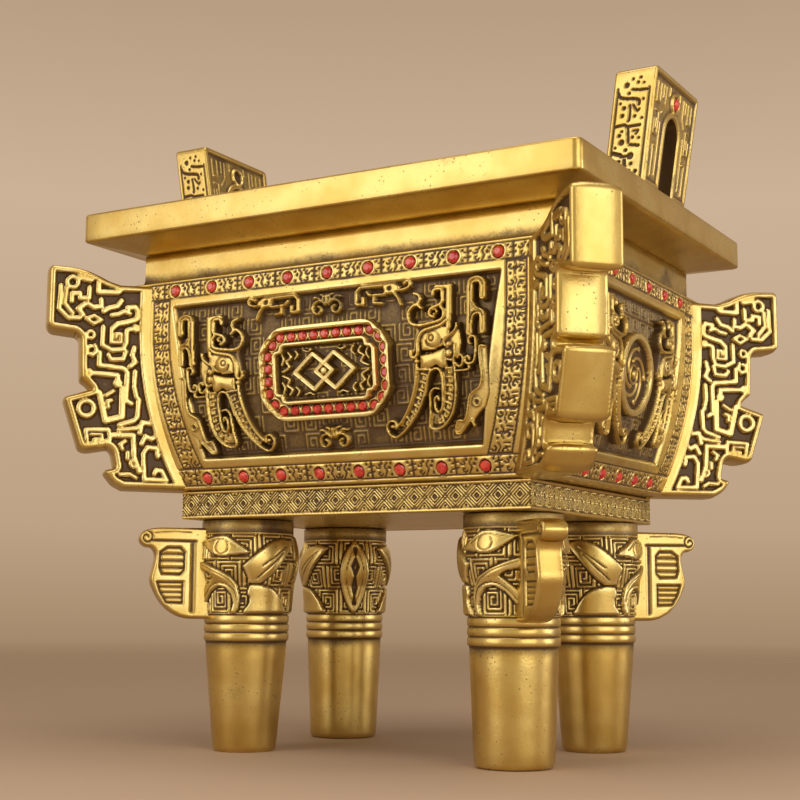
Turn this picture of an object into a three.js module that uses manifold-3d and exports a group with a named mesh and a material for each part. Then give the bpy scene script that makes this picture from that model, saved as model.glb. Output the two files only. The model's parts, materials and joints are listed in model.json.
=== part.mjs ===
// A square ding: a cast brass basin under a broad flat rim, on four round legs, with two pierced
// ears, four stepped corner flanges, and raised birds round a cartouche or a medallion on each wall.
// Millimetres, +Z up, X along the long side, the front facing -Y, the origin on the ground in the
// middle of the four legs. The pieces are cast apart and soldered, so they sit a solder gap apart.

import * as THREE from "three";
import { mergeVertices } from "three/addons/utils/BufferGeometryUtils.js";
import Module from "manifold-3d";

const wasm = await Module();
wasm.setup();

// Clearances
const seat = 0.3; // solder gap between two pieces
const mitreGap = 0.15; // taken off each mitred end
const boltPlay = 0.3; // round the shank of each leg bolt

// Legs
const legHeight = 93.5;
const legTopRadius = 19;
const legBellyRadius = 20.3;
const legWaistRadius = 18;
const legShaftRadius = 16.8;
const legFootRadius = 14;
const legFootEdge = 1.2; // rounded-off edge of the foot
const legCollarHeight = 5.2;
const legBellyHeight = 33.2;
const legRingCount = 3;
const legRingPitch = 3.6;
const legRingRadius = 18.4;
const legRingGroove = 1.3;
const legWall = 4.4; // casting thickness round the core
const legWeb = 8; // solid top of the leg
const legInsetX = 17.6; // leg axis in from the band's end
const legInsetY = 22.2; // leg axis in from the band's long face

// Tabs on the outside of the legs
const tabThickness = 10;
const tabReach = 24.9; // beyond the leg's belly
const tabHeight = 40.3;
const tabPocketDepth = 2.2;
const tabRibRadius = 1.15;
const tabRibCount = 3;

// Basin
const basinHalfLength = 99.2;
const basinHalfWidth = 75.2;
const wallHeight = 85;
const wallStraight = 18.5; // upright stretch below the neck
const wallCurveRadius = 193;
const wallCurveSteps = 3;
const wallThickness = 6;
const neckHeight = 13.5;
const neckInset = 5.2;
const neckThickness = 5;
const neckShoulder = 8; // height over which the wall thickens to the neck inside
const lipThickness = 4.5;
const lipOverlap = 1.5; // how far the foot lip passes the band's inner face

// Base band and floor
const bandHeight = 11.4;
const bandThickness = 5;
const bandSetbackX = 20.2; // band's end face in from the basin's end
const bandSetbackY = 14.7; // band's long face in from the basin's front
const floorThickness = 5;

// Leg bolts
const boltRadius = 3;
const boltHeadRadius = 5.6;
const boltHeadHeight = 4;
const boltPastWeb = 1.5;
const washerRadius = 7.2;
const washerThickness = 1.2;

// Rim
const rimHalfLength = 112;
const rimHalfWidth = 89.6;
const rimEdgeHeight = 11.8;
const rimSlopeHeight = 3.9;
const rimCornerRadius = 3;
const rimBevel = 0.8;

// Ears
const earHeight = 45.5;
const earThickness = 17;
const earHalfBase = 22.9;
const earHalfTop = 24.3;
const earLean = 8.4; // degrees outward
const earCorner = 2.5;
const earSetback = 2; // outer face in from the rim's edge
const earArchHalf = 7.25;
const earArchTop = 30.4;
const earArchLip = 2.1;
const earBorder = 2.1;
const earFieldDepth = 0.8;
const earStoneHeight = 36.3;

// Stones
const stoneRadius = 2.5;
const stoneRise = 1.5;
const stonePocket = 1;
const smallStoneRadius = 1.85;
const stoneFacets = 5;
const earStoneFacets = 8;
const legFacets = 14;
const roundFacets = 8; // bolt shanks, washers and holes

// Wall panels: the field is the sunk ground behind the reliefs
const fieldDepth = 3;
const fieldFoot = 11.5; // above the wall's foot
const fieldHead = 10.5; // below the wall's top
const longFieldSetback = 24.2; // field's top corner in from the basin's end
const shortFieldSetback = 27.2;
const fieldTaper = 11; // how much narrower the field is at its foot, on each side
const stoneRowTop = 4.2; // below the wall's top
const stoneRowFoot = 4.1; // above the wall's foot
const longTopStones = { count: 9, pitch: 18.4 };
const longFootStones = { count: 8, pitch: 18 };
const shortTopStones = { count: 6, pitch: 18.2 };
const shortFootStones = { count: 5, pitch: 16.8 };

// Cartouche in the middle of each long wall
const cartoucheHeight = 43.2; // centre above the wall's foot
const cartoucheHalfLength = 30.25;
const cartoucheHalfHeight = 18;
const cartoucheCut = 8; // cut-off corners
const cartoucheBorder = 2;
const cartoucheChannel = 4.9; // between the two borders, where the stones sit
const cartoucheRise = 2;
const cartoucheBed = 0.8; // channel floor below the wall's face
const cartoucheStonesLong = 8;
const cartoucheStonesShort = 4;
const lozengeHalfLength = 11;
const lozengeHalfHeight = 7.4;
const lozengeBar = 1.8;

// Medallion in the middle of each short wall
const medallionHeight = 42.9;
const medallionClearance = 2.2; // to the bird on each side
const medallionBorder = 3.4;
const medallionRise = 2;
const medallionBed = 1;
const whorlArms = 4;
const whorlArm = 2.2; // width of each

// Birds
const birdRise = 1.5; // above the wall's face
const birdBar = 3.4;
const birdEyeRadius = 3;
const birdBeakHole = 2.9;
const birdCurlRadius = 3.7;
const birdTailHead = 2.6;
const eyeRise = 0.9; // above the bird

// Corner flanges
const flangeThickness = 18;
const flangeReach = 32; // beyond the basin's corner
const flangeFieldDepth = 2.2;
const flangeRootStrip = 4.3; // plain strip beside the wall
const flangeLine = 2.1;
const flangeEye = 2.9;
const flangeRing = 3.3;

// The sizes that the reliefs and outlines below are drawn for. They stretch with the real ones.
const drawnWallHeight = 85;
const drawnFieldHalf = 75;
const drawnShortFieldHalf = 48;
const drawnFieldHeight = 63;
const drawnShortBirdShift = 18.5; // the side walls' birds are drawn this much nearer the middle
const drawnBirdFront = 37.2;
const drawnFlangeReach = 32;
const drawnTabReach = 24.9;
const drawnTabHeight = 40.3;

// Levels and half sizes that follow from the driving dimensions
const plinthFoot = legHeight + seat;
const floorTop = plinthFoot + floorThickness;
const bandTop = plinthFoot + bandHeight;
const wallFoot = bandTop + seat;
const wallTop = wallFoot + wallHeight;
const curveTop = wallTop - wallStraight;
const neckTop = wallTop + neckHeight;
const rimFoot = neckTop + seat;
const rimTop = rimFoot + rimSlopeHeight + rimEdgeHeight;
const bandHalfLength = basinHalfLength - bandSetbackX;
const bandHalfWidth = basinHalfWidth - bandSetbackY;
const legX = bandHalfLength - legInsetX;
const legY = bandHalfWidth - legInsetY;
const fieldLow = wallFoot + fieldFoot;
const fieldHigh = wallTop - fieldHead;
const longField = basinHalfLength - longFieldSetback;
const shortField = basinHalfWidth - shortFieldSetback;
const shortBirdFront = ((drawnBirdFront - drawnShortBirdShift) * shortField) / drawnShortFieldHalf;
const medallionRadius = shortBirdFront - medallionClearance;
const throughReach = wallHeight / 2;
const leanSlope = Math.tan(THREE.MathUtils.degToRad(earLean));

// Turning geometry into solids and back

/** A closed three.js geometry as a solid that can be joined and cut. */
function solidFrom(geometry) {
  const bare = new THREE.BufferGeometry();
  bare.setAttribute("position", geometry.getAttribute("position").clone());
  if (geometry.index) bare.setIndex(geometry.index.clone());
  const merged = mergeVertices(bare, 1e-4);
  const corners = merged.index.array;
  const kept = [];
  for (let i = 0; i < corners.length; i += 3) {
    const [a, b, c] = [corners[i], corners[i + 1], corners[i + 2]];
    if (a !== b && b !== c && c !== a) kept.push(a, b, c);
  }
  return new wasm.Manifold(
    new wasm.Mesh({
      numProp: 3,
      vertProperties: new Float32Array(merged.getAttribute("position").array),
      triVerts: new Uint32Array(kept),
    }),
  );
}

/** A solid as a three.js geometry. */
function geometryFrom(solid) {
  const { vertProperties, triVerts } = solid.getMesh();
  const geometry = new THREE.BufferGeometry();
  geometry.setAttribute("position", new THREE.BufferAttribute(new Float32Array(vertProperties), 3));
  geometry.setIndex(new THREE.BufferAttribute(new Uint32Array(triVerts), 1));
  geometry.computeVertexNormals();
  return geometry;
}

const joined = (solids) => solids.reduce((whole, solid) => whole.add(solid));

// Flat shapes

const polygon = (points) => new THREE.Shape(points.map(([x, y]) => new THREE.Vector2(x, y)));

function disc(x, y, radius) {
  const shape = new THREE.Shape();
  shape.absarc(x, y, radius, 0, 2 * Math.PI);
  return shape;
}

/** A band of even width along a bent line, with mitred corners. */
function ribbon(line, width) {
  const points = line.map(([x, y]) => new THREE.Vector2(x, y));
  const left = [];
  const right = [];
  points.forEach((point, index) => {
    const before = points[Math.max(index - 1, 0)];
    const after = points[Math.min(index + 1, points.length - 1)];
    const arriving = point.clone().sub(before).normalize();
    const leaving = after.clone().sub(point).normalize();
    const along = arriving.clone().add(leaving).normalize();
    const straight = index ? arriving : leaving;
    const spread = width / 2 / Math.max(along.dot(straight), 0.5);
    const across = new THREE.Vector2(-along.y, along.x).multiplyScalar(spread);
    left.push(point.clone().add(across));
    right.unshift(point.clone().sub(across));
  });
  return new THREE.Shape([...left, ...right]);
}

/** A rectangle with its corners cut off. */
function cutCorners(halfLength, halfHeight, cut, middle) {
  return polygon([
    [halfLength, middle - halfHeight + cut],
    [halfLength, middle + halfHeight - cut],
    [halfLength - cut, middle + halfHeight],
    [cut - halfLength, middle + halfHeight],
    [-halfLength, middle + halfHeight - cut],
    [-halfLength, middle - halfHeight + cut],
    [cut - halfLength, middle - halfHeight],
    [halfLength - cut, middle - halfHeight],
  ]);
}

// Prisms. Outward is -Y, so that a front piece needs no turning.

/** A shape drawn as (x, height), extruded outward between two depths. */
function prismOut(shape, from, to, curveSegments = 4) {
  const geometry = new THREE.ExtrudeGeometry(shape, { depth: to - from, bevelEnabled: false, curveSegments });
  return solidFrom(geometry.rotateX(Math.PI / 2).translate(0, -from, 0));
}

/** The geometry of a shape drawn as (outward, height), extruded along X between two places. */
function alongX(shape, from, to, curveSegments = 4) {
  const geometry = new THREE.ExtrudeGeometry(shape, { depth: to - from, bevelEnabled: false, curveSegments });
  const axes = new THREE.Matrix4().makeBasis(
    new THREE.Vector3(0, -1, 0),
    new THREE.Vector3(0, 0, 1),
    new THREE.Vector3(-1, 0, 0),
  );
  return geometry.applyMatrix4(axes).translate(to, 0, 0);
}

/** The same prism with its ends mitred to meet the neighbours at a corner. */
function mitred(shape, halfLengthAtFace) {
  const geometry = alongX(shape, -1, 1);
  const places = geometry.getAttribute("position");
  for (let i = 0; i < places.count; i++) {
    const outward = -places.getY(i);
    places.setX(i, Math.sign(places.getX(i)) * (halfLengthAtFace + outward - mitreGap));
  }
  return solidFrom(geometry);
}

/** A ring of rounded rectangles, one for each [half length, half width, height, corner radius]. */
function rectangularRing(sections, cornerSteps = 3) {
  const loop = sections.map(([halfLength, halfWidth, height, radius]) => {
    const points = [];
    for (let quarter = 0; quarter < 4; quarter++) {
      const signX = quarter === 0 || quarter === 3 ? 1 : -1;
      const signY = quarter < 2 ? 1 : -1;
      for (let step = 0; step <= cornerSteps; step++) {
        const angle = ((quarter + step / cornerSteps) * Math.PI) / 2;
        points.push([
          signX * (halfLength - radius) + radius * Math.cos(angle),
          signY * (halfWidth - radius) + radius * Math.sin(angle),
          height,
        ]);
      }
    }
    return points;
  });
  const around = loop[0].length;
  const index = [];
  for (let i = 0; i < loop.length; i++) {
    const next = (i + 1) % loop.length;
    for (let j = 0; j < around; j++) {
      const beside = (j + 1) % around;
      const [a, b] = [i * around + j, i * around + beside];
      const [c, d] = [next * around + beside, next * around + j];
      index.push(a, c, b, a, d, c);
    }
  }
  const geometry = new THREE.BufferGeometry();
  geometry.setAttribute("position", new THREE.Float32BufferAttribute(loop.flat(2), 3));
  geometry.setIndex(index);
  return geometry;
}

/** A turned solid standing on Z, from a closed profile of [radius, height]. */
function turned(profile, segments) {
  const points = profile.map(([radius, height]) => new THREE.Vector2(radius, height));
  points.push(points[0].clone());
  return solidFrom(new THREE.LatheGeometry(points.reverse(), segments).rotateX(Math.PI / 2));
}

// The wall's face

/** How far the wall's face lies outward at a height, counted from the basin's widest face. */
function faceAt(height) {
  const drop = Math.max(curveTop - height, 0);
  return Math.sqrt(wallCurveRadius ** 2 - drop ** 2) - wallCurveRadius;
}

/** The wall's face from top to foot as [outward, height], moved outward by an offset. */
function faceLine(offset) {
  const line = [[offset, wallTop]];
  for (let step = 0; step <= wallCurveSteps; step++) {
    const height = curveTop - ((curveTop - wallFoot) * step) / wallCurveSteps;
    line.push([faceAt(height) + offset, height]);
  }
  return line;
}

/** A skin that follows the wall's face between two offsets. */
function skin(low, high) {
  const shape = polygon([...faceLine(high), ...faceLine(low).reverse()]);
  return solidFrom(alongX(shape, -basinHalfLength, basinHalfLength));
}

/** A shape drawn on the wall, as a prism that passes right through the wall's face. */
const through = (shape, curveSegments = 4) => prismOut(shape, -throughReach, throughReach, curveSegments);

/** The same prism between two offsets from the wall's face, so that it follows the curve. */
const relief = (shape, low, high) => through(shape).intersect(skin(low, high));

/** A domed stone, its back sunk below the face and its axis outward. */
function stone(radius, sink, rise, facets) {
  const profile = [
    [0, -sink],
    [radius, -sink],
    [radius * 0.6, rise],
    [0, rise],
  ].map(([r, y]) => new THREE.Vector2(r, y));
  return new THREE.LatheGeometry(profile, facets).rotateX(Math.PI);
}

/** Stones in a row on the wall, centred on the panel. */
function stoneRow({ count, pitch }, height) {
  return Array.from({ length: count }, (_, i) => {
    const x = (i - (count - 1) / 2) * pitch;
    const glass = stone(stoneRadius, stoneRise, stoneRise, stoneFacets);
    return solidFrom(glass.translate(x, -faceAt(height), height));
  });
}

// Basin pieces

/** One cast wall: neck, curved panel with its sunk field and stone rows, and the lip at its foot. */
function wall({ halfLength, lipInner, fieldHalf, topStones, footStones }) {
  const innerLine = faceLine(-wallThickness)
    .slice(1)
    .reverse()
    .filter(([, height]) => height > wallFoot + lipThickness);
  const lipJoin = faceAt(wallFoot + lipThickness) - wallThickness;
  const profile = polygon([
    [-neckInset, neckTop],
    [-neckInset, wallTop],
    ...faceLine(0),
    [lipInner, wallFoot],
    [lipInner, wallFoot + lipThickness],
    [lipJoin, wallFoot + lipThickness],
    ...innerLine,
    [-wallThickness, wallTop - neckShoulder],
    [-neckInset - neckThickness, wallTop],
    [-neckInset - neckThickness, neckTop],
  ]);
  const field = polygon([
    [-fieldHalf, fieldHigh],
    [fieldTaper - fieldHalf, fieldLow],
    [fieldHalf - fieldTaper, fieldLow],
    [fieldHalf, fieldHigh],
  ]);
  const stones = [
    ...stoneRow(topStones, wallTop - stoneRowTop),
    ...stoneRow(footStones, wallFoot + stoneRowFoot),
  ];
  return mitred(profile, halfLength).subtract(relief(field, -fieldDepth, wallThickness)).add(joined(stones));
}

/** One strip of the band round the basin's foot. */
function bandStrip(halfLength) {
  const profile = polygon([
    [0, plinthFoot],
    [0, bandTop],
    [-bandThickness, bandTop],
    [-bandThickness, plinthFoot],
  ]);
  return mitred(profile, halfLength);
}

/** The basin's floor inside the band, drilled for the leg bolts. */
function floorPlate() {
  const halfLength = bandHalfLength - bandThickness - seat;
  const halfWidth = bandHalfWidth - bandThickness - seat;
  const plate = new THREE.BoxGeometry(2 * halfLength, 2 * halfWidth, floorThickness);
  const holes = [-legX, legX].flatMap((x) =>
    [-legY, legY].map((y) => {
      const hole = boltRadius + boltPlay;
      const drill = new THREE.CylinderGeometry(hole, hole, 3 * floorThickness, roundFacets);
      return solidFrom(drill.rotateX(Math.PI / 2).translate(x, y, plinthFoot));
    }),
  );
  return solidFrom(plate.translate(0, 0, plinthFoot + floorThickness / 2)).subtract(joined(holes));
}

/** The rim, with its softened top edge and its underside rising from the neck. */
function rimFrame() {
  const neckX = basinHalfLength - neckInset;
  const neckY = basinHalfWidth - neckInset;
  const edgeFoot = rimFoot + rimSlopeHeight;
  const inner = 1;
  const sections = [
    [neckX - neckThickness, neckY - neckThickness, rimTop, inner],
    [rimHalfLength - rimBevel, rimHalfWidth - rimBevel, rimTop, rimCornerRadius - rimBevel],
    [rimHalfLength, rimHalfWidth, rimTop - rimBevel, rimCornerRadius],
    [rimHalfLength, rimHalfWidth, edgeFoot, rimCornerRadius],
    [neckX, neckY, rimFoot, inner],
    [neckX - neckThickness, neckY - neckThickness, rimFoot, inner],
  ];
  return solidFrom(rectangularRing(sections));
}

// Legs

const bellyTop = legHeight - legCollarHeight;
const bellyFoot = bellyTop - legBellyHeight;
const ringsFoot = bellyFoot - legRingCount * legRingPitch;

/** The outside of a leg from the top down, as [radius, height], grown by a clearance. */
function legOutside(grow) {
  const belly = new THREE.SplineCurve([
    new THREE.Vector2(legTopRadius, bellyTop),
    new THREE.Vector2(legBellyRadius, bellyTop - legBellyHeight * 0.3),
    new THREE.Vector2(legWaistRadius, bellyFoot),
  ]);
  const line = [[legTopRadius, legHeight], ...belly.getPoints(3).map(({ x, y }) => [x, y])];
  for (let ring = 0; ring < legRingCount; ring++) {
    const top = bellyFoot - ring * legRingPitch;
    line.push([legRingRadius - legRingGroove, top - legRingPitch * 0.1]);
    line.push([legRingRadius, top - legRingPitch * 0.5]);
  }
  line.push([legRingRadius - legRingGroove, ringsFoot]);
  line.push([legShaftRadius, ringsFoot - legRingPitch * 0.3]);
  line.push([legFootRadius, legFootEdge]);
  line.push([legFootRadius - legFootEdge, 0]);
  return line.map(([radius, height]) => [radius + grow, height]);
}

/** One leg: a turned casting, cored from below, with a web on top for its bolt. */
function leg() {
  const hole = boltRadius + boltPlay;
  const profile = [
    [hole, legHeight],
    ...legOutside(0),
    [legFootRadius - legWall, 0],
    [legShaftRadius - legWall, ringsFoot],
    [legShaftRadius - legWall, legHeight - legWeb],
    [hole, legHeight - legWeb],
  ];
  return turned(profile, legFacets);
}

/** The pocketed, ribbed tab on the outside of a leg, its root hollowed to fit the leg. */
function legTab() {
  // Outlines are drawn as [reach beyond the leg's belly, drop below the leg's top].
  const across = tabReach / drawnTabReach;
  const down = tabHeight / drawnTabHeight;
  const drawn = (points) =>
    points.map(([reach, drop]) => [legBellyRadius + reach * across, legHeight - drop * down]);
  const outline = drawn([
    [-8, 3],
    [16.7, 3.3],
    [20.7, 3.8],
    [23.6, 4.9],
    [24.9, 7.5],
    [24.2, 9.8],
    [22.1, 11.2],
    [20.1, 11.1],
    [18.5, 12.9],
    [18.1, 15.5],
    [19, 19.5],
    [20, 23.5],
    [19.7, 26],
    [17.6, 30.5],
    [15.2, 34.2],
    [12, 37.2],
    [8.2, 39.3],
    [4.7, 40.1],
    [-8, 40.3],
  ]);
  const pockets = [
    drawn([
      [7.5, 11.5],
      [15.7, 11.5],
      [17.2, 13.5],
      [17.2, 20.5],
      [15.7, 22.5],
      [7.5, 22.5],
      [6, 20.5],
      [6, 13.5],
    ]),
    drawn([
      [6.7, 25.5],
      [18, 25.5],
      [17, 29],
      [14.2, 34],
      [6.7, 34],
    ]),
  ];
  const plate = solidFrom(alongX(polygon(outline), -tabThickness / 2, tabThickness / 2));
  const floor = tabThickness / 2 - tabPocketDepth;
  const cuts = pockets.flatMap((pocket) => {
    const heights = pocket.map(([, height]) => height);
    const foot = Math.min(...heights);
    const spacing = (Math.max(...heights) - foot) / tabRibCount;
    return [-1, 1].map((side) => {
      const ribs = Array.from({ length: tabRibCount }, (_, i) => {
        const bar = new THREE.CylinderGeometry(tabRibRadius, tabRibRadius, 2 * tabReach, 6);
        const rise = foot + (i + 0.5) * spacing;
        return solidFrom(bar.translate(side * floor, -legBellyRadius - tabReach / 2, rise));
      });
      const [from, to] = side > 0 ? [floor, tabThickness] : [-tabThickness, -floor];
      return solidFrom(alongX(polygon(pocket), from, to)).subtract(joined(ribs));
    });
  });
  const legSpace = turned([[0, legHeight], ...legOutside(seat), [0, 0]], legFacets);
  return plate.subtract(joined(cuts)).subtract(legSpace);
}

/** The bolt that pulls a leg up to the floor: a hexagon head and a plain shank. */
function legBolt() {
  const headFoot = floorTop + washerThickness + 2 * seat;
  const shankFoot = legHeight - legWeb - boltPastWeb;
  const head = new THREE.CylinderGeometry(boltHeadRadius, boltHeadRadius, boltHeadHeight, 6);
  const shankLength = headFoot - shankFoot + boltHeadHeight / 2;
  const shank = new THREE.CylinderGeometry(boltRadius, boltRadius, shankLength, roundFacets);
  return solidFrom(head.rotateX(Math.PI / 2).translate(0, 0, headFoot + boltHeadHeight / 2)).add(
    solidFrom(shank.rotateX(Math.PI / 2).translate(0, 0, shankFoot + shankLength / 2)),
  );
}

function legWasher() {
  const foot = floorTop + seat;
  const hole = boltRadius + boltPlay;
  return turned(
    [
      [hole, foot + washerThickness],
      [washerRadius, foot + washerThickness],
      [washerRadius, foot],
      [hole, foot],
    ],
    roundFacets,
  );
}

// Corner flanges

/** The space that a basin corner takes, seen along the corner's diagonal. */
function cornerSpace() {
  const beyond = 60;
  const line = faceLine(seat);
  const shape = polygon([
    [-beyond, wallTop + beyond],
    [seat, wallTop + beyond],
    ...line,
    [line.at(-1)[0], wallFoot - beyond],
    [-beyond, wallFoot - beyond],
  ]);
  const side = (turn) => solidFrom(alongX(shape, -2 * beyond, 2 * beyond).rotateZ(turn));
  return side(Math.PI / 4).intersect(side(-Math.PI / 4));
}

/** One stepped flange, notched at its root over the mitred corner, with a sunk field on each face. */
function flange() {
  // Outlines are drawn as [outward from the basin's corner, height above the wall's foot].
  const stretch = wallHeight / drawnWallHeight;
  const reach = flangeReach / drawnFlangeReach;
  const drawn = (points) => points.map(([out, rise]) => [out * reach, wallFoot + rise * stretch]);
  const outline = drawn([
    [-34, 84.5],
    [-8, 84.5],
    [3, 84],
    [8, 85.5],
    [12, 87.5],
    [17, 89.5],
    [22, 90.5],
    [30.8, 91],
    [32, 89.6],
    [32, 66.5],
    [30.5, 64.7],
    [20.3, 63.6],
    [18.6, 61.5],
    [18, 44.6],
    [16.2, 43.6],
    [13, 40.2],
    [24.5, 36.6],
    [17.8, 16.2],
    [15.2, 15.4],
    [6, 17],
    [4.4, 15],
    [3, 8.2],
    [7.5, 7],
    [4, 2.5],
    [0, 0.4],
    [-8, 0],
    [-34, 0],
  ]);
  const rootLine = faceLine(0)
    .slice(1)
    .map(([out, height]) => [Math.SQRT2 * out - flangeThickness / 2 + flangeRootStrip, height]);
  const outerLine = drawn([
    [-18, 2.2],
    [-8, 2.2],
    [-1, 2.6],
    [2.6, 5],
    [0.8, 6.6],
    [2.4, 16.4],
    [5, 19.2],
    [14.8, 17.7],
    [16.4, 18.4],
    [21.8, 35.2],
    [9.4, 39.2],
    [14.4, 45.6],
    [16, 46.6],
    [16.6, 63],
    [19.5, 65.9],
    [29, 67],
    [29.8, 68.4],
    [29.8, 88.7],
    [22, 88.3],
    [16.8, 87.2],
    [11.4, 85],
    [7.4, 83.2],
    [2.8, 81.7],
    [-3, 81.8],
  ]);
  const straightRoot = [rootLine[0][0], wallFoot + 81.8 * stretch];
  const field = polygon([straightRoot, ...rootLine.slice(0, -1), ...outerLine]);
  const lines = [
    ribbon(drawn([[0, 78], [-0.5, 71], [9, 71.5], [9, 76.5], [17, 76]]), flangeLine),
    ribbon(drawn([[14, 48.5], [1, 47.5], [1, 30.5], [7.5, 28.8], [10, 37]]), flangeLine),
    ribbon(drawn([[-11, 23], [-12.5, 12], [-7.5, 12], [-6.5, 21.5], [2, 22.5], [13, 24.5]]), flangeLine),
    disc(...drawn([[22.5, 84]])[0], flangeEye),
    disc(...drawn([[15.6, 31.5]])[0], flangeRing),
  ];
  const plate = solidFrom(alongX(polygon(outline), -flangeThickness / 2, flangeThickness / 2));
  const bed = flangeThickness / 2 - flangeFieldDepth;
  const cuts = [-1, 1].map((side) => {
    const [from, to] = side > 0 ? [bed, flangeThickness] : [-flangeThickness, -bed];
    const raised = lines.map((shape) => solidFrom(alongX(shape, from - 1, to + 1)));
    return solidFrom(alongX(field, from, to)).subtract(joined(raised));
  });
  return plate.subtract(joined(cuts)).subtract(cornerSpace());
}

// Ears

/** An upside-down U: the ear's face, or its field when drawn in from the edges. */
function earShape(border, lip, foot) {
  const arch = earArchHalf + lip;
  const centre = earArchTop - earArchHalf;
  const halfAt = (height) => earHalfBase + ((earHalfTop - earHalfBase) * height) / earHeight - border;
  const top = earHeight - border;
  const shape = new THREE.Shape();
  shape.moveTo(arch, foot);
  shape.lineTo(halfAt(foot), foot);
  shape.lineTo(halfAt(top), top - earCorner);
  shape.lineTo(halfAt(top) - earCorner * 0.3, top - earCorner * 0.3);
  shape.lineTo(halfAt(top) - earCorner, top);
  shape.lineTo(earCorner - halfAt(top), top);
  shape.lineTo(earCorner * 0.3 - halfAt(top), top - earCorner * 0.3);
  shape.lineTo(-halfAt(top), top - earCorner);
  shape.lineTo(-halfAt(foot), foot);
  shape.lineTo(-arch, foot);
  shape.lineTo(-arch, centre);
  shape.absarc(0, centre, arch, Math.PI, 0, true);
  shape.lineTo(arch, foot);
  return shape;
}

/** One ear, leaning outward with a level top, its outer face through the local origin. */
function ear() {
  const slab = solidFrom(alongX(earShape(0, 0, 0), -earThickness, 0, 5));
  const field = earShape(earBorder, earArchLip, earBorder);
  const setting = stoneRadius + seat;
  const cuts = [-earThickness, 0].flatMap((face) => {
    const boss = disc(0, earStoneHeight, setting + 1);
    const [from, to] = face ? [face - 1, face + earFieldDepth] : [-earFieldDepth, 1];
    const pocket = new THREE.CylinderGeometry(setting, setting, 2 * stonePocket, roundFacets);
    return [
      solidFrom(alongX(field, from, to, 5)).subtract(solidFrom(alongX(boss, from - 1, to + 1, 3))),
      solidFrom(pocket.rotateZ(Math.PI / 2).translate(face, 0, earStoneHeight)),
    ];
  });
  const lean = new THREE.Matrix4().makeShear(0, 0, 0, 0, leanSlope, 0);
  return solidFrom(geometryFrom(slab.subtract(joined(cuts))).applyMatrix4(lean));
}

// Reliefs on the walls

/** Places on a wall's field, drawn as [from the middle, above the field's foot]. */
function onField(fieldHalf, drawnHalf) {
  const across = fieldHalf / drawnHalf;
  const up = (fieldHigh - fieldLow) / drawnFieldHeight;
  return (points, shift = 0) => points.map(([x, rise]) => [(x - shift) * across, fieldLow + rise * up]);
}

/** The head, breast and bands that every bird has, as prisms through the wall's face. */
function birdBody(drawn, shift) {
  const head = polygon(
    drawn(
      [
        [58.3, 49],
        [56, 47.5],
        [54, 49.8],
        [50.5, 49],
        [47, 52.4],
        [45, 54.6],
        [43.4, 52.4],
        [39.6, 50],
        [37.2, 46.4],
        [38.4, 42.6],
        [40.8, 40.6],
        [40, 32.2],
        [43.4, 31.4],
        [43.4, 27.2],
        [56, 27.2],
        [58, 33],
        [60.2, 42],
        [57.4, 40],
      ],
      shift,
    ),
  );
  const beakHole = disc(...drawn([[44.6, 46.6]], shift)[0], birdBeakHole);
  const crest = ribbon(drawn([[50.5, 54], [52.4, 57], [56.8, 57], [56.6, 48]], shift), birdBar * 0.9);
  const breast = ribbon(drawn([[45, 30], [44, 23], [41.6, 15], [38, 8.6], [33.5, 5]], shift), birdBar * 1.4);
  const curl = disc(...drawn([[31.8, 5.6]], shift)[0], birdCurlRadius);
  const hangingLine = drawn([[55.4, 29], [55, 18], [53.6, 9.6], [50.4, 5.6], [45.6, 4.2]], shift);
  const hanging = ribbon(hangingLine, birdBar * 1.3);
  const arch = ribbon(drawn([[44, 24], [47.5, 25.8], [55, 25.8]], shift), birdBar * 0.8);
  const solidHead = through(head).subtract(through(beakHole));
  return [solidHead, ...[crest, breast, curl, hanging, arch].map((shape) => through(shape))];
}

/** The tall hooked plume and the thin tail that the long walls' birds carry behind them. */
function birdPlume(drawn) {
  return [
    ribbon(drawn([[70, 51.4], [70, 57.6], [65, 57.6], [61.5, 33], [57, 29]]), birdBar),
    ribbon(drawn([[64, 45.4], [68.2, 43.4], [67.6, 37.6]]), birdBar * 0.7),
    ribbon(drawn([[61.5, 35.4], [66.8, 35], [66, 27.4], [56, 25.8]]), birdBar * 0.6),
    ribbon(drawn([[67.8, 33], [66.6, 26], [63.9, 18.4], [60.4, 12.4], [57.6, 4.6]]), birdBar * 0.8),
    disc(...drawn([[63.4, 14.2]])[0], birdTailHead),
  ].map((shape) => through(shape));
}

/** A bird on the right of its panel, looking at the middle; mirrored, it stands on the left. */
function bird(fieldHalf, long, mirror) {
  const onPanel = onField(fieldHalf, long ? drawnFieldHalf : drawnShortFieldHalf);
  const side = mirror ? -1 : 1;
  const drawn = (points, shift) => onPanel(points, shift).map(([x, z]) => [x * side, z]);
  const shift = long ? 0 : drawnShortBirdShift;
  const parts = [...birdBody(drawn, shift), ...(long ? birdPlume(drawn) : [])];
  const bed = -fieldDepth + seat;
  const [eyeX, eyeZ] = drawn([[50.6, 37.2]], shift)[0];
  const eye = stone(birdEyeRadius, birdRise, eyeRise + birdRise, 7).translate(eyeX, -faceAt(eyeZ), eyeZ);
  return joined(parts).intersect(skin(bed, birdRise)).add(solidFrom(eye));
}

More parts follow.
